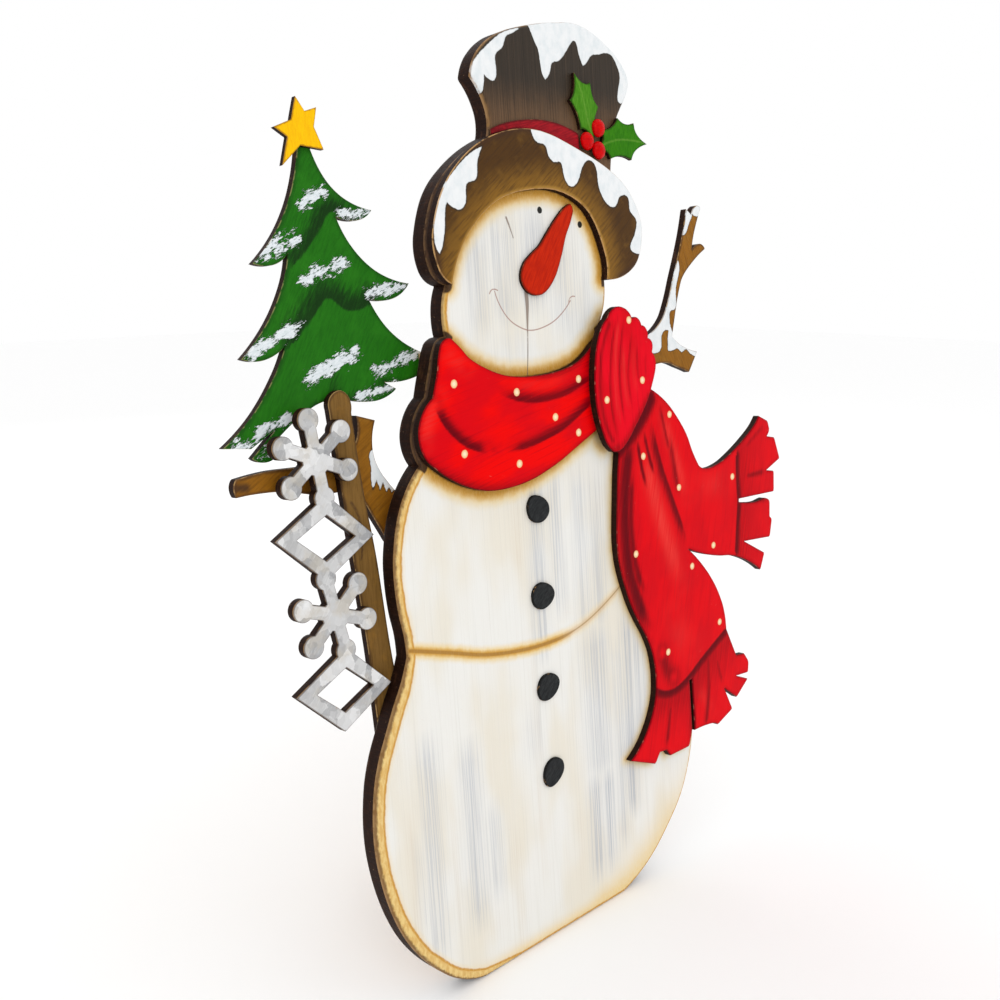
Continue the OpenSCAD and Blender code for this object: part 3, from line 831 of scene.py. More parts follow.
def brim_board():
    """The brim: brown strokes that lighten towards the face, under snow."""
    p = Paint("brim_paint")
    arc = p["arc"]
    strokes = p.noise(2.2, 26, turned=0.9)
    cloud = p.noise(22)
    inwards = (arc + (cloud - 0.5) * 20).fade(33, 1)
    p.colour = p.mix(inwards, (0.074, 0.030, 0.003), (0.225, 0.104, 0.010))
    p.lay(strokes.fade(0.42, 0.70) * 0.55, (0.040, 0.017, 0.005))
    p.lay(cloud.fade(0.54, 0.74) * 0.35, (0.24, 0.115, 0.014))
    p.lay((arc + (cloud - 0.5) * 4).fade(4.0, 0.5) * 0.6, (0.46, 0.25, 0.045))
    outer = p["edge"] + (cloud - 0.5) * 5
    p.lay(outer.fade(9, 1) * arc.fade(8, 20) * 0.65, (0.045, 0.018, 0.008))
    snow_height = snow_over(p, outline_reach=2.6)
    scratch = p.noise(9, 1.6, detail=5, rough=0.75, turned=0.7).fade(0.69, 0.72)
    p.lay(scratch * 0.3, (0.72, 0.62, 0.50))
    p.lay(arris_rub(p, 1.1, 0.38) * 0.8, (0.62, 0.36, 0.14))
    p.bump(strokes, 0.14)
    p.bump(snow_height, 0.5)
    return p.done(strokes.fade(0, 1) * 0.15 + 0.40, specular=0.12)


def red_board(name, turned, red):
    """Scarf red: crimson fold shading and, on the tails, a painted shadow under the knot; maroon edges, cream
    dots, and scratches down to the wood.
    """
    p = Paint(name)
    strokes = p.noise(2.2, 75, rough=0.62, turned=turned)
    cloud = p.noise(26, 60, detail=3, turned=turned)
    shade, edge = p["shade"], p["edge"]
    wobble = p.wobble(8, 5, detail=4)
    p.colour = p.mix(cloud.fade(0.38, 0.66) * 0.7, red, (0.62, 0.0, 0.006))
    p.lay(strokes.fade(0.50, 0.76) * 0.45, (0.42, 0.0, 0.006))
    p.lay(p["glow"] * (strokes.fade(0.28, 0.68) * 0.8 + 0.2), ROSE)
    # Painted fold shading, and on the tails also a painted shadow under the knot
    folds_and_shadow = shade + (strokes - 0.5) * 0.5 * shade.fade(0.02, 0.3)
    p.lay(folds_and_shadow.fade(0.0, 0.62), CRIMSON)
    p.lay(folds_and_shadow.fade(0.30, 0.95) * 0.92, MAROON)
    p.lay((edge + wobble * 0.5).fade(6.0, 0.2) * 0.35, CRIMSON)
    p.lay((edge + p.wobble(3, 1.5)).fade(1.7, 0.3) * 0.6, MAROON)
    dot = p["dots"] + p.wobble(2.0, 0.9)
    p.lay(dot.fade(0.4, -0.4), p.mix(dot.fade(-0.6, -3.0), (0.88, 0.55, 0.28), DOT))
    scratch = p.noise(1.0, 22, detail=5, rough=0.72, turned=turned + 0.55).fade(0.67, 0.71)
    p.lay(scratch * p.noise(60, detail=2).fade(0.46, 0.60) * 0.6, (0.85, 0.55, 0.42))
    p.lay(arris_rub(p, 0.7, 0.54) * 0.35, (0.62, 0.30, 0.20))
    p.bump(strokes, 0.13)
    p.bump(dot.fade(0.5, -0.9), 0.35)
    return p.done(strokes.fade(0, 1) * 0.16 + 0.36, specular=0.04)


def tree_board():
    """The tree: green strokes, dark under each tier of branches, with ragged dabs of snow."""
    p = Paint("tree_paint")
    strokes = p.noise(1.5, 11, rough=0.65, turned=0.5)
    cloud = p.noise(26)
    p.colour = p.mix(strokes.fade(0.35, 0.7) * 0.6, (0.014, 0.150, 0.004), (0.008, 0.095, 0.003))
    p.lay(cloud.fade(0.48, 0.72) * 0.55, (0.022, 0.185, 0.007))
    shade = p["shade"]
    dark = (shade + (strokes - 0.5) * 1.1 * shade.fade(0.02, 0.3)).fade(0.05, 0.95)
    p.lay(dark * 0.86, (0.004, 0.020, 0.003))
    p.lay((p["edge"] + (cloud - 0.5) * 6).fade(5, 0.3) * 0.5, (0.005, 0.030, 0.004))
    ragged = p.noise(5.5, 1.5, detail=5, rough=0.78, turned=-0.45)
    patchy = (p.noise(13, 7, detail=2, turned=-0.45) - 0.5) * 22
    dab = p["dab"] + (ragged - 0.455) * 26 + patchy
    white = p.mix(ragged.fade(0.3, 0.7), (0.84, 0.87, 0.90), (0.60, 0.68, 0.70))
    p.lay(dab.fade(0.5, -0.7), white)
    p.lay(arris_rub(p, 0.8, 0.44) * 0.5, (0.40, 0.34, 0.14))
    p.bump(strokes, 0.15)
    p.bump(dab.fade(1.5, -1.5), 0.5)
    return p.done(strokes.fade(0, 1) * 0.18 + 0.44, specular=0.09)


def bark_board(name, base=(0.30, 0.120, 0.008), deep=(0.11, 0.040, 0.004), snowy=True, turned=0.0):
    """Twigs and trunk: brown strokes, darker at the rims, with or without snow."""
    p = Paint(name)
    strokes = p.noise(1.5, 22, rough=0.65, turned=turned)
    cloud = p.noise(14)
    p.colour = p.mix(strokes.fade(0.38, 0.72) * 0.55, base, deep)
    p.lay(cloud.fade(0.52, 0.72) * 0.35, (0.33, 0.155, 0.022))
    p.lay(p["shade"].fade(0.05, 0.9) * 0.85, (0.045, 0.022, 0.012))
    p.lay((p["edge"] + (cloud - 0.5) * 4).fade(3.2, 0.4) * 0.7, (0.05, 0.022, 0.010))
    p.bump(strokes, 0.2)
    if snowy:
        p.bump(snow_over(p, outline_reach=1.3, ragged=2.0), 0.5)
    p.lay(arris_rub(p, 0.8, 0.46) * 0.6, (0.55, 0.34, 0.13))
    return p.done(strokes.fade(0, 1) * 0.2 + 0.44, specular=0.1)


def plain_paint(name, light, dark, edge_colour, strokes=(1.6, 16), turned=0.0, rim=3.0, vein=None,
                rub=0.5):
    """Brushed paint in two shades with a darker rim; vein adds a lighter painted line."""
    p = Paint(name)
    lines = p.noise(*strokes, rough=0.62, turned=turned)
    cloud = p.noise(9, detail=3)
    p.colour = p.mix(lines.fade(0.34, 0.7), light, dark)
    p.lay(cloud.fade(0.45, 0.75) * 0.45, dark)
    if vein is not None:
        soft = p["vein"] + p.wobble(2.5, 1.6)
        p.lay(soft.fade(1.8, 0.0) * 0.3, vein)
    edge = p["edge"] + p.wobble(3.5, 2.2)
    p.lay(edge.fade(rim, 0.2) * 0.8, edge_colour)
    p.lay(arris_rub(p, 0.6, 0.55) * rub, RUBBED)
    p.bump(lines, 0.12)
    return p.done(lines.fade(0, 1) * 0.16 + 0.4, specular=0.05)


def galvanised():
    """Zinc spangles, brushed and weathered, with a thin dark line at the cut edge."""
    p = Paint("galvanised_sheet")
    spangle = p.cells(17, "Color", twist=7)
    small = p.cells(7, "Color", twist=4)
    grain = p.noise(1.2, 9, rough=0.7, turned=0.6)
    cloud = p.noise(20)
    coarse = p.shades(spangle, (0.15, (0.27, 0.275, 0.29)), (0.5, grey(0.50)), (0.85, grey(0.84)))
    fine = p.shades(small, (0.15, grey(0.42)), (0.85, grey(0.78)))
    p.colour = p.mix(0.35, coarse, fine)
    p.lay(cloud.fade(0.46, 0.66) * 0.45, (0.62, 0.56, 0.46))
    p.lay(grain.fade(0.52, 0.74) * 0.38, grey(0.86))
    rust = (p.noise(9, detail=5, rough=0.7) - p["edge"] * 0.012).fade(0.58, 0.70)
    p.lay(rust * 0.55, (0.40, 0.28, 0.17))
    p.lay(p["edge"].fade(0.9, 0.2) * 0.7, (0.10, 0.075, 0.06))
    metal = rust.fade(1.0, 0.0) * 0.55 + 0.2
    p.bump(cloud, 0.10)
    p.bump(grain, 0.05)
    return p.done(cloud.fade(0.25, 0.75) * 0.25 + 0.38, metallic=metal)


def berry_paint():
    """Glossy red, darkened towards the back of each bead where it meets the leaves: painted shade."""
    p = Paint("berry_paint")
    cloud = p.noise(4, detail=3)
    p.colour = p.mix(cloud.fade(0.35, 0.7), (0.66, 0.0, 0.001), (0.48, 0.0, 0.001))
    # Painted shade: the back of each bead, where it meets the leaves, is darker
    p.lay(p["behind"].fade(4.6, 6.2) * 0.5, (0.16, 0.0, 0.002))
    p.bump(cloud, 0.08)
    return p.done(cloud.fade(0, 1) * 0.1 + 0.26, specular=0.08)


def dowel_wood():
    """Beech for the hidden dowels, whose CAD meshes have no fields."""
    p = Paint("dowel_beech")
    place = p.add("ShaderNodeTexCoord", "Object", {})
    fibre = p.add("ShaderNodeTexNoise", "Fac", {"Vector": place, "Scale": 900})
    p.colour = p.mix(fibre.fade(0.3, 0.7), (0.66, 0.44, 0.25), (0.50, 0.31, 0.16))
    p.bump(fibre, 0.1)
    return p.done(fibre * 0.2 + 0.5)


# ---------- Painted places ----------

SCARF_DOT_R, EYE_R = 3.9, 3.4
EYES = [(26.5, 746), (84, 733.5)]

BRIM_SNOW = [
    [(-54, 799), (-61, 785), (-64, 770), (-76, 765), (-79, 748), (-86, 742), (-95, 744), (-101, 748),
     (-104, 742), (-106, 725), (-110, 710), (-114, 703), (-118, 709), (-119, 722), (-115, 742),
     (-105, 760), (-90, 776), (-71, 791)],
    [(11, 824), (17, 809), (30, 806), (34, 796), (41, 791), (51, 791), (54, 780), (59, 771),
     (67, 769), (75, 775), (82, 788), (89, 795), (97, 795), (103, 789), (106, 770), (114, 757),
     (124, 751), (132, 753), (137, 761), (146, 764), (152, 761), (154, 748), (162, 741), (164, 736),
     (160, 724), (152, 712), (155, 706), (171, 706), (182, 740), (160, 772), (120, 796), (60, 815)],
]
CROWN_SNOW = [
    [(15, 914), (2, 907), (-6, 903), (-11, 893), (-21, 885), (-21, 871), (-24, 862), (-33, 863),
     (-37, 866), (-40, 851), (-44, 846), (-50, 857), (-52, 868), (-45, 880), (-30, 893), (-10, 906)],
    [(27, 922), (32, 905), (37, 897), (39, 885), (41, 875), (45, 870), (51, 876), (56, 887),
     (66, 890), (76, 899), (87, 911), (92, 911), (96, 899), (101, 889), (107, 893), (115, 901),
     (125, 903), (138, 906), (147, 904), (156, 892), (158, 884), (154, 870), (153, 861), (157, 858),
     (164, 862), (182, 880), (165, 915), (110, 940), (60, 936)],
]
WAIST = [(-174, 351), (-126, 337), (-86, 325), (-46, 318), (-6, 315), (34, 317), (74, 328),
         (124, 353)]
SMILE = [(-41, 669), (-36, 657), (-27, 645), (-16, 637), (2, 631), (22, 633), (43, 641), (64, 658)]
SMILE_ENDS = [[(-48, 667), (-44, 671), (-37, 670)], [(61, 655), (64, 661), (71, 662)]]
CRACK = [(1, 668), (1.5, 655), (0.5, 640), (-1, 615), (-4, 587)]
SCRATCH = [(-20, 738), (-16, 729), (-12, 719)]
# Blue-grey streaks: across, half-width, lowest, highest, strength
COOL_STREAKS = [(-5, 12, 305, 485, 0.8), (24, 10, 345, 485, 0.65), (60, 12, 320, 480, 0.55),
                (84, 12, 320, 480, 0.6), (62, 12, 40, 150, 0.9), (84, 10, 40, 150, 0.95),
                (74, 22, 150, 310, 0.7), (124, 11, 90, 310, 0.95), (143, 12, 180, 290, 0.6),
                (108, 9, 60, 290, 0.6), (-166, 12, 50, 260, 0.7), (-184, 7, 80, 170, 0.45),
                (-114, 12, 60, 240, 0.75), (-88, 12, 80, 170, 0.5), (-25, 12, 200, 250, 0.35),
                (-62, 15, 630, 722, 0.6), (-28, 17, 640, 735, 0.75), (10, 22, 650, 742, 0.65),
                (55, 24, 630, 715, 0.5), (85, 12, 600, 690, 0.35), (-20, 30, 600, 640, 0.25)]
TAN_STREAKS = [(-32, 8, 395, 470, 0.6), (-192, 6, 60, 190, 0.6), (-140, 4, 60, 200, 0.35),
               (-22, 6, 60, 330, 0.35), (36, 6, 30, 120, 0.35), (95, 20, 430, 480, 0.4),
               (-60, 9, 20, 130, 0.3), (-95, 30, 30, 60, 0.2)]


def ramp(value, none, full):
    """0 at one value and 1 at the other, with a straight change between them."""
    return np.clip((value - none) / (full - none), 0, 1)


def streak_field(streaks):
    """The strongest of several upright streaks, whose ends fade over 30 mm."""
    def weight(at):
        total = np.zeros(len(at))
        for middle, half, low, high, strength in streaks:
            wide = np.exp(-((at[:, 0] - middle) / half) ** 2)
            ends = ramp(at[:, 1], low - 15, low + 15) * ramp(at[:, 1], high + 15, high - 15)
            total = np.maximum(total, strength * wide * ends)
        return total
    return weight


def nearest_board(*nodes):
    """Distance to the outlines of the boards laid on the figure's front."""
    pieces = [together([smooth(p, 3.0) for p in front_loops(node)[0]]) for node in nodes]

    def distance(at):
        return np.min([np.where(inside(at, p), 0, nearest(at, p)[0]) for p in pieces], axis=0)
    return distance


def patches(outlines):
    return lambda at: np.min([patch(at, outline) for outline in outlines], axis=0)


def rim_width(at):
    """How far the golden rim reaches in from the figure's outline: widest at the belly's left."""
    left = ramp(at[:, 0], -60, -120)
    low = ramp(at[:, 1], 560, 500)
    belly = ramp(at[:, 1], 350, 310)
    return 3.0 + (3.2 + 4.0 * belly) * left * low


def foot_glow(at):
    """Golden shading that rises towards the lower right of the figure's foot."""
    reach = 11 + 34 * ramp(at[:, 0], 40, 170)
    lift = 55 * ramp(np.abs(at[:, 0]), 90, 230) ** 2
    return np.exp(-(np.maximum(at[:, 1] - lift, 0) / reach) ** 2)


def waist_weight(at):
    """The waist line's golden shading is weaker at its right end."""
    return np.where(at[:, 1] < 200, 0, 0.35 + 0.65 * ramp(at[:, 0], 45, 15))


def crack_field(at):
    """Signed distance to the crack down the chin, which narrows as it runs down."""
    half = 0.5 + 1.9 * ramp(at[:, 1], 626, 660)
    scratch_half = 0.9 * np.clip((at[:, 1] - 715) / 20, 0.4, 1)
    return np.minimum(line(at, CRACK) - half, line(at, SCRATCH) - scratch_half)


beside_wrap = nearest_board("scarf_wrap", "hat_brim")
beside_tails = nearest_board("scarf_tails", "scarf_knot")

BODY_FIELDS = {
    "cool": streak_field(COOL_STREAKS),
    "tan": streak_field(TAN_STREAKS),
    "halo_and_contact_shade": lambda at: np.minimum(beside_wrap(at), beside_tails(at) + 9),
    "rim": rim_width,
    "base": foot_glow,
    "waist": lambda at: line(at, WAIST),
    "waist_weight": waist_weight,
    "waist_line": lambda at: 0.5 + 0.9 * ramp(at[:, 0], 45, 25),
    "crack": crack_field,
    "smile": lambda at: np.min([line(at, s) for s in [SMILE, *SMILE_ENDS]], axis=0),
    "eyes": lambda at: dots(at, EYES, EYE_R),
    "snow": patches(CROWN_SNOW),
}

BODY_DETAIL = np.vstack([beside([SMILE, *SMILE_ENDS, CRACK, SCRATCH, WAIST]),
                         beside(CROWN_SNOW, closed=True, offsets=(0, 1.3, -1.3)),
                         round_about(EYES, EYE_R)])

WRAP_DOTS = [(-108, 587), (-29, 573), (60, 579), (23, 544), (56, 525), (-101, 522), (-31, 504)]
TAIL_DOTS = [(207, 529), (158, 488), (219, 445), (324, 443), (138, 383), (281, 367), (238, 350),
             (288, 272), (187, 260)]
KNOT_DOTS = [(133, 635), (151, 571), (92, 555)]


def shading(*strokes):
    """The strongest of several brush strokes: (points, reach left, reach right, strength)."""
    return lambda at: np.max([stroke(at, *s) for s in strokes], axis=0)


# A stroke that is drawn from right to left reaches further below on its left side
WRAP_SHADE = shading(
    ([(-58, 577), (-36, 568), (-14, 563), (13, 562), (46, 567), (95, 586)], 9, 1.8, 0.62, 30),
    ([(-133, 570), (-123, 552), (-111, 539), (-95, 528), (-70, 520)], 9, 1.8, 0.74, 14),
    ([(-52, 518), (-21, 519), (10, 525), (39, 534), (95, 564)], 9, 1.8, 0.68, 26),
    ([(-146, 516), (-88, 487), (-26, 480), (30, 494), (100, 526)], 10, 8, 0.42),
    ([(-104, 630), (-60, 600), (6, 586), (54, 592), (100, 620)], 4, 4, 0.32),
    ([(92, 620), (90, 570), (96, 530)], 17, 17, 0.72))
WRAP_GLOW = shading(
    ([(-148, 535), (-141, 556), (-126, 577)], 8, 8, 0.55, 14),
    ([(-118, 618), (-105, 608), (-90, 600)], 8, 8, 0.3, 10),
    ([(-40, 585), (10, 578), (50, 588)], 6, 6, 0.2, 20))
KNOT_SHADE = shading(
    ([(98, 512), (84, 545), (85, 595), (101, 632)], 3.5, 4, 0.42),
    ([(106, 512), (98, 558), (102, 604), (114, 640)], 1.6, 3.2, 0.42, 24),
    ([(120, 522), (113, 570), (118, 612), (128, 645)], 1.4, 3.4, 0.40, 24),
    ([(134, 536), (127, 575), (131, 600), (139, 632)], 1.3, 3.0, 0.36, 22),
    ([(148, 556), (143, 590), (147, 618)], 1.3, 2.6, 0.34, 18),
    ([(158, 566), (157, 590), (160, 606)], 1.3, 2.6, 0.30, 14),
    ([(100, 503), (118, 508), (140, 530), (160, 552)], 6, 6, 0.36))
KNOT_GLOW = shading(
    ([(112, 525), (107, 565), (110, 610), (121, 640)], 2.5, 2.5, 0.50, 20),
    ([(127, 540), (121, 580), (125, 612)], 3, 3, 0.42, 16),
    ([(141, 555), (137, 585), (140, 610)], 3, 3, 0.34, 14))
TAIL_SHADE = shading(
    ([(142, 520), (131, 475), (125, 440), (124, 405), (128, 365), (142, 325), (160, 288)],
     7, 15, 0.74, 34),
    ([(140, 480), (133, 430), (133, 400), (139, 365), (154, 330)], 5, 9, 0.60, 26),
    # A painted shadow of the knot: the tails are darkened just below its lower edge
    ([(120, 498), (150, 520), (176, 548)], 15, 9, 0.78),
    ([(148, 512), (154, 478), (162, 450)], 3, 3, 0.70, 16),
    ([(160, 520), (168, 486), (178, 462)], 3, 3, 0.66, 16),
    ([(174, 530), (187, 480), (204, 440), (222, 400), (231, 374)], 2.0, 10, 0.66, 34),
    ([(206, 512), (212, 470), (222, 428)], 4, 7, 0.46, 24),
    ([(190, 545), (200, 505), (208, 480)], 2, 4, 0.46, 16),
    ([(160, 225), (179, 215), (200, 214), (224, 222), (244, 233), (264, 243), (302, 261)], 1.8, 10, 0.80),
    ([(160, 215), (190, 204), (224, 210), (264, 232), (302, 250)], 8, 34, 0.34),
    ([(339, 470), (338, 440), (339, 410), (335, 380), (331, 352)], 36, 6, 0.30),
    ([(334, 466), (333, 440), (334, 410), (330, 380), (326, 352)], 9, 2.0, 0.78),
    ([(176, 262), (184, 240), (196, 228)], 13, 13, 0.50, 10),
    ([(228, 216), (229, 180), (229, 150)], 5, 8, 0.62),
    ([(262, 236), (262, 200), (256, 160)], 4, 7, 0.48),
    ([(276, 236), (284, 214), (290, 192)], 3, 5, 0.40, 12),
    ([(345, 440), (372, 440), (400, 441)], 4, 5, 0.48, 14),
    ([(344, 470), (372, 486), (398, 500)], 3, 5, 0.36, 14),
    ([(340, 410), (375, 408), (402, 404)], 4, 5, 0.48, 14),
    ([(190, 205), (184, 178), (176, 146)], 4, 6, 0.45, 14))
TAIL_GLOW = shading(
    ([(160, 500), (166, 470), (178, 430), (198, 380), (216, 330)], 11, 11, 0.80, 40),
    ([(192, 538), (204, 505), (218, 470), (232, 430)], 8, 8, 0.60, 26),
    ([(250, 440), (280, 440), (312, 436)], 14, 14, 0.30, 24),
    ([(200, 300), (215, 270), (232, 250)], 16, 16, 0.30, 24),
    ([(238, 205), (250, 190), (266, 165)], 7, 7, 0.35, 14),
    ([(112, 480), (110, 430), (111, 385), (126, 330)], 3, 3, 0.5, 20))

# Dabs of snow on the branches: a line and its half-width
TREE_DABS = [
    ([(-232, 746), (-206, 759)], 5), ([(-279, 704), (-240, 718)], 5), ([(-192, 739), (-163, 743)], 4),
    ([(-233, 685), (-193, 699)], 5), ([(-292, 626), (-245, 646)], 5.5),
    ([(-168, 672), (-127, 677)], 5), ([(-236, 602), (-188, 621)], 6.5),
    ([(-312, 553), (-263, 570)], 5), ([(-166, 604), (-116, 616)], 5.5),
    ([(-188, 582), (-150, 588)], 4), ([(-292, 541), (-282, 544)], 3)]
TREE_SHADE = shading(
    ([(-184, 729), (-196, 742), (-204, 741), (-219, 722), (-238, 702)], 1.6, 13, 0.95),
    ([(-168, 664), (-192, 659), (-212, 670), (-226, 658), (-248, 636)], 1.8, 17, 0.95),
    ([(-158, 592), (-190, 583), (-232, 578)], 7, 7, 0.5),
    ([(-246, 560), (-264, 552)], 6, 6, 0.4),
    ([(-212, 600), (-214, 588)], 8, 8, 0.45))


def dab_field(at):
    return np.min([line(at, points) - reach for points, reach in TREE_DABS], axis=0)


BRIM_INNER = [(113, 678), (112, 703), (92, 742), (62, 760), (22, 765), (-35, 753), (-78, 720),
              (-101, 676)]
UPPER_VEIN = [(82, 880), (92, 860), (98, 838), (107, 815)]
SIDE_VEIN = [(110, 808), (135, 818), (160, 821), (193, 819)]
TRUNK_SHADE = shading(([(-212, 492), (-205, 478), (-203, 460), (-206, 440)], 1.5, 1.5, 0.7))
RIGHT_ARM_SHADE = shading(([(104, 556), (180, 572), (262, 577)], 4, 4, 0.5))
LEFT_ARM_SHADE = shading(([(-318, 519), (-309, 518)], 5, 5, 0.8))
RIGHT_ARM_SNOW = [
    [(188, 606), (196, 612), (214, 622), (232, 633), (248, 658), (262, 684), (272, 700), (274, 690),
     (266, 668), (264, 646), (253, 642), (251, 622), (243, 622), (236, 616), (233, 600), (214, 597)],
    [(253, 628), (262, 613), (285, 606), (312, 596), (303, 588), (290, 592), (281, 598), (272, 595),
     (264, 600), (256, 598), (247, 598), (248, 616)],
    [(281, 728), (289, 745), (291, 766), (303, 756), (296, 742), (288, 730)],
    [(300, 756), (322, 768), (324, 757), (311, 750)]]
LEFT_ARM_SNOW = [
    [(-221, 533), (-206, 534), (-200, 524), (-206, 517), (-215, 512), (-222, 520)],
    [(-181, 532), (-181, 519), (-182, 507), (-181, 498), (-176, 507), (-173, 497), (-169, 504),
     (-166, 494), (-163, 499), (-160, 493), (-154, 500), (-158, 516), (-168, 534)]]


# ---------- Boards ----------

sawn = sawn_edge()
dark_back = sawn_edge("back_stain", dark=(0.05, 0.022, 0.012), light=(0.13, 0.062, 0.03))
pine_up = bare_pine("pine_up", tint=(1.03, 0.99, 0.93), pith=(16, 10))
pine_across = bare_pine("pine_across", along="X", tint=(0.97, 0.98, 0.98), pith=(0, 70))
zinc = steel()


def overlay(name, node, paint, fields=None, **sizes):
    """A painted board with sawn edges and a stained back."""
    board(name, node, (paint, sawn, dark_back), fields, **sizes)


def make_planks():
    cream = cream_board()
    sides = {"left": bare_pine("pine_left", stained=True, pith=(-150, 95)),
             "right": bare_pine("pine_right", stained=True, tint=(1.06, 1.03, 0.96), pith=(120, -30))}
    for side, pine in sides.items():
        board("painted_plank_" + side, "body_plank_" + side, (cream, sawn, pine), BODY_FIELDS,
              spacing=3.0, radius=4.0, back_radius=1.5, seam=0.0, floor=True, detail=BODY_DETAIL)


def make_hat():
    """The brim, the band and the two holly leaves with their veins."""
    overlay("painted_brim", "hat_brim", brim_board(),
            {"snow": patches(BRIM_SNOW), "arc": lambda at: line(at, BRIM_INNER)}, spacing=1.8,
            radius=1.3, detail=beside(BRIM_SNOW, closed=True, offsets=(0, 1.0, -1.0)))
    band = plain_paint("band_paint", (0.40, 0.010, 0.018), (0.22, 0.006, 0.012),
                       (0.06, 0.008, 0.008), turned=1.3)
    overlay("painted_hat_band", "hat_band", band, spacing=2.5, radius=0.6, back_radius=0.3)
    for node, light, dark, vein in (
            ("holly_leaf_upper", (0.085, 0.275, 0.016), (0.040, 0.190, 0.004), UPPER_VEIN),
            ("holly_leaf_side", (0.040, 0.215, 0.003), (0.020, 0.145, 0.002), SIDE_VEIN)):
        leaf = plain_paint(node + "_paint", light, dark, (0.012, 0.050, 0.003), strokes=(1.2, 9),
                           rim=2.0, vein=(0.24, 0.44, 0.07))
        overlay("painted_" + node, node, leaf, {"vein": lambda at, vein=vein: line(at, vein)},
                spacing=1.6, radius=0.8, back_radius=0.4)


def make_face():
    """The carrot and the four coal buttons."""
    carrot = plain_paint("carrot_paint", (0.58, 0.020, 0.001), (0.42, 0.010, 0.001),
                         (0.14, 0.008, 0.002), strokes=(2, 20), turned=0.55, rim=2.4)
    overlay("painted_nose", "carrot_nose", carrot, spacing=2.0, radius=1.0, back_radius=0.3)
    coal = plain_paint("coal_paint", (0.030, 0.032, 0.033), (0.014, 0.015, 0.016), grey(0.008),
                       strokes=(1.2, 5), turned=0.8, rim=1.6, rub=0.9)
    for number in range(1, 5):
        board(f"painted_button_{number}", f"coal_button_{number}", (coal, coal, coal), spacing=1.5,
              radius=0.9, back_radius=0.2, outline_step=1.5)


def make_scarf():
    for node, shade, glow, spots, turned, colour in (
            ("scarf_wrap", WRAP_SHADE, WRAP_GLOW, WRAP_DOTS, 1.35, RED),
            ("scarf_tails", TAIL_SHADE, TAIL_GLOW, TAIL_DOTS, 0.25, TAIL_RED),
            ("scarf_knot", KNOT_SHADE, KNOT_GLOW, KNOT_DOTS, -0.05, KNOT_RED)):
        fields = {"shade": shade, "glow": glow,
                  "dots": lambda at, spots=spots: dots(at, spots, SCARF_DOT_R)}
        overlay("painted_" + node, node, red_board(node + "_paint", turned, colour), fields,
                spacing=1.9, radius=1.3, detail=round_about(spots, SCARF_DOT_R))


def make_arms():
    arm = bark_board("arm_paint", turned=1.0)
    twig = bark_board("twig_paint", turned=-0.4)
    for side, paint, snow, shade in (("right", twig, RIGHT_ARM_SNOW, RIGHT_ARM_SHADE),
                                     ("left", arm, LEFT_ARM_SNOW, LEFT_ARM_SHADE)):
        overlay(f"painted_{side}_arm", side + "_arm", paint,
                {"snow": patches(snow), "shade": shade}, spacing=1.8, radius=1.0)


def make_tree():
    overlay("painted_tree", "tree_top", tree_board(), {"shade": TREE_SHADE, "dab": dab_field},
            spacing=1.9, radius=1.0)
    trunk = bark_board("trunk_paint", base=(0.215, 0.112, 0.026), deep=(0.110, 0.053, 0.011),
                       snowy=False)
    overlay("painted_trunk", "tree_trunk", trunk, {"shade": TRUNK_SHADE}, spacing=2.0, radius=1.0)
    star = plain_paint("star_paint", (0.96, 0.56, 0.003), (0.90, 0.47, 0.003), (0.36, 0.15, 0.01),
                       strokes=(1.5, 8), rim=1.4, rub=0.4)
    overlay("painted_star", "tree_star", star, spacing=1.6, radius=0.7)


def make_ornaments():
    """The cut-outs: a zinc sheet on a stained backing."""
    sheet = galvanised()
    board("zinc_ornament_sheet", "ornament_sheet", (sheet, sheet, sheet), spacing=2.4,
          radius=0.35, back_radius=0.1, outline_step=2.0)
    overlay("stained_ornament_backing", "ornament_backing", sawn, spacing=None, radius=0.4,
            outline_step=2.0)


# ---------- Easel, dowels, screws and berries ----------

def eased(node, material, plane=FRONT, body=FIGURE, width=1.2):
    """A plain sawn piece with its arrises taken off. Its shape stays the CAD piece's."""
    bm = welded(node)
    bmesh.ops.dissolve_limit(bm, angle_limit=math.radians(2), verts=bm.verts, edges=bm.edges)
    sharp = [e for e in bm.edges if len(e.link_faces) == 2 and e.calc_face_angle() > math.radians(35)
             and e.calc_length() > 3 * width * MM]
    bmesh.ops.bevel(bm, geom=sharp, offset=width * MM, segments=3, profile=0.5, affect="EDGES",
                    clamp_overlap=True)
    bmesh.ops.triangulate(bm, faces=[f for f in bm.faces if len(f.verts) > 4])
    mesh = bpy.data.meshes.new("eased_" + node)
    bm.to_mesh(mesh)
    bm.free()
    mesh.materials.append(material)
    store(mesh, "board", plane.flat([v.co for v in mesh.vertices]), "FLOAT_VECTOR")
    hand_over(mesh, node, body, sharp=40)


def make_easel():
    for node in ("upper_batten", "lower_batten"):
        eased(node, pine_across)
    for node in ("hinge_cheek_left", "hinge_cheek_right", "left_arm_spacer", "tree_spacer"):
        eased(node, pine_up, width=0.8)
    eased("easel_leg", pine_up, LEG, EASEL)
    eased("hinge_pin", zinc, width=0.5)


def make_dowels():
    """The dowels keep their CAD shape, inside the planks."""
    material = dowel_wood()
    for holder in frame["nodes"]["plank_dowels"].material_slots:
        holder.link = "OBJECT"
        holder.material = material


def box_of(part):
    """A part's middle, its front and back depth, and its radius across."""
    low, high = part.min(0), part.max(0)
    return (low + high) / 2, low[1], high[1], (high[0] - low[0]) / 2


def replace_parts(name, node, material, shape, sharp):
    """Replaces every separate solid of a node by the (points, faces) that shape gives for it."""
    points, faces, count = [], [], 0
    for part in loose_parts(node):
        new_points, new_faces = shape(part)
        points.append(new_points)
        faces += [[i + count for i in face] for face in new_faces]
        count += len(new_points)
    replace(name, node, np.vstack(points), faces, (material,), sharp=sharp)


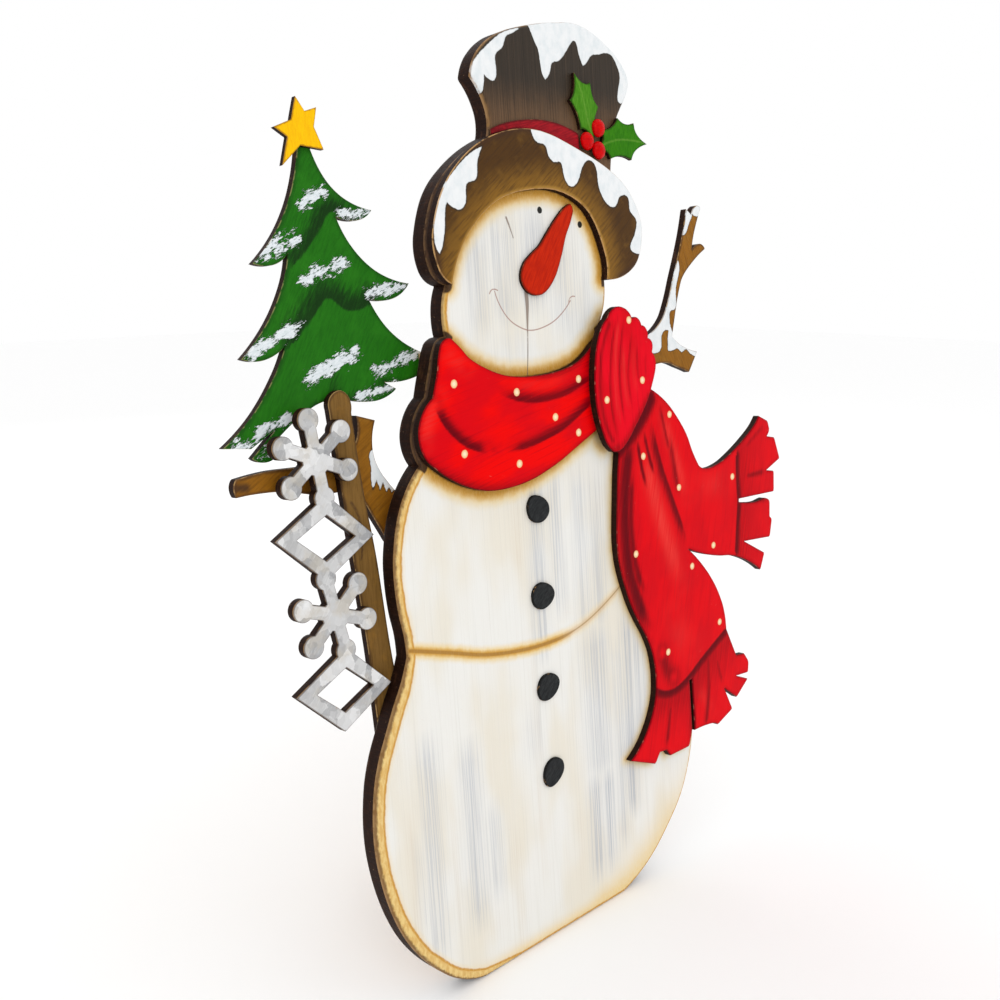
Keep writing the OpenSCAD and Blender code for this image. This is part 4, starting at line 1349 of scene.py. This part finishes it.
def cross_outline(turned, half_w, reach):
    """The outline of a cross recess: three corners for each of its four arms."""
    cross = []
    for angle in turned + np.arange(4) * math.pi / 2:
        out = np.array([math.cos(angle), math.sin(angle)])
        over = np.array([-out[1], out[0]])
        cross += [out * half_w * 1.15 - over * half_w, out * reach - over * half_w * 0.7,
                  out * reach + over * half_w * 0.7]
    return np.array(cross)


def screw_shape(part):
    """A pan-head screw with a cross recess, turned by chance. Its head's top faces back."""
    middle, front, back, head_r = box_of(part)
    shank_l = back - SCREW_HEAD_T - front

    def dome(points):
        return SCREW_HEAD_T * (1 - 0.55 * (np.hypot(*points.T) / head_r) ** 4)

    ring = circle(SIDES)
    cross = cross_outline(rng.uniform(0, math.pi), 0.22 * head_r, 0.62 * head_r)
    top, faces = cap([ring * head_r * 0.72, cross])
    faces = faces.tolist()
    head = [ring * head_r * share for share in (0.72, 0.86, 0.95, 1.0)]
    shank = [(head_r, 0), (SHANK_R, 0), (SHANK_R, SHANK_R - shank_l), (SHANK_R * 0.1, -shank_l)]
    outside = [level(points, dome(points)) for points in head]
    outside += [level(ring * radius, depth) for radius, depth in shank]
    recess = [level(cross, dome(cross)), level(cross * 0.62, SCREW_HEAD_T * 0.30)]
    first = len(top)
    tip = first + SIDES * (len(outside) - 1)
    mouth = tip + SIDES
    faces += walls(first, len(outside), SIDES) + [list(range(tip, mouth))]
    faces += walls(mouth, 2, len(cross)) + [[mouth + len(cross) + i for i in range(len(cross))]]
    points = np.vstack([level(top, dome(top)), *outside, *recess])
    return points + [middle[0], back - SCREW_HEAD_T, middle[2]], faces


def berry_shape(part):
    """A turned bead, a little flattened and uneven."""
    middle, front, back, radius = box_of(part)
    turn = np.linspace(0, 2 * math.pi, SIDES, endpoint=False)
    lifts = np.linspace(0, math.pi / 2, BERRY_ROWS)[:-1]
    points = []
    for row, lift in enumerate(lifts):
        uneven = radius * math.cos(lift) * (1 + 0.012 * np.sin(3 * turn + row))
        points.append(level(circle(SIDES) * uneven[:, None] + middle[[0, 2]],
                            back - (back - front) * math.sin(lift)))
    last, top = SIDES * (len(lifts) - 1), SIDES * len(lifts)
    faces = walls(0, len(lifts), SIDES) + [list(range(SIDES))]
    faces += [[last + i, top, last + (i + 1) % SIDES] for i in range(SIDES)]
    return np.vstack(points + [[[middle[0], front, middle[2]]]]), faces


make_planks()
make_hat()
replace_parts("painted_berries", "holly_berries", berry_paint(), berry_shape, sharp=38)
make_face()
make_scarf()
make_arms()
make_tree()
make_ornaments()
make_easel()
make_dowels()
for group in ("ornament", "tree", "trunk", "arm", "batten", "cheek"):
    replace_parts(f"cross_{group}_screws", group + "_screws", zinc, screw_shape, sharp=35)


# ---------- Floor, light and camera, in metres ----------

FLOOR_REACH = 9.0
LIGHT_AIM = (0, 0, 0.5)
CAMERA_AT, CAMERA_AHEAD = (-0.761, -0.702, 0.695), (0.678, 0.703, -0.216)


def make_floor():
    mesh = bpy.data.meshes.new("floor")
    corners = [(x * FLOOR_REACH, y * FLOOR_REACH, 0) for x, y in ((-1, -1), (1, -1), (1, 1), (-1, 1))]
    mesh.from_pydata(corners, [], [(0, 1, 2, 3)])
    floor = bpy.data.objects.new("floor", mesh)
    bpy.context.scene.collection.objects.link(floor)
    material = bpy.data.materials.new("pale_floor")
    material.use_nodes = True
    shader = material.node_tree.nodes["Principled BSDF"]
    shader.inputs["Base Color"].default_value = (0.985, 0.985, 0.985, 1)
    shader.inputs["Roughness"].default_value = 0.9
    shader.inputs["Specular IOR Level"].default_value = 0.1
    mesh.materials.append(material)


def area_light(name, place, size, power):
    data = bpy.data.lights.new(name, "AREA")
    data.shape = "DISK"
    data.size = size
    data.energy = power
    lamp = bpy.data.objects.new(name, data)
    lamp.location = place
    lamp.rotation_euler = (Vector(LIGHT_AIM) - Vector(place)).to_track_quat("-Z", "Y").to_euler()
    bpy.context.scene.collection.objects.link(lamp)


def make_light():
    world = bpy.data.worlds.new("studio")
    world.use_nodes = True
    background = world.node_tree.nodes["Background"]
    background.inputs["Color"].default_value = (1, 1, 1, 1)
    background.inputs["Strength"].default_value = 1.0
    bpy.context.scene.world = world
    area_light("key", (-1.9, -2.4, 2.6), 1.6, 12)
    area_light("back", (0.8, 3.0, 2.2), 2.0, 12)


def make_camera():
    data = bpy.data.cameras.new("camera")
    data.sensor_width = 36.0
    data.lens = 39.02
    camera = bpy.data.objects.new("camera", data)
    ahead = Vector(CAMERA_AHEAD).normalized()
    right = ahead.cross(Vector((0, 0, 1))).normalized()
    up = right.cross(ahead)
    turned = Matrix((right, up, -ahead)).transposed().to_4x4()
    camera.matrix_world = Matrix.Translation(CAMERA_AT) @ turned
    bpy.context.scene.collection.objects.link(camera)
    bpy.context.scene.camera = camera


make_floor()
make_light()
make_camera()
bpy.context.scene.view_settings.view_transform = "Standard"
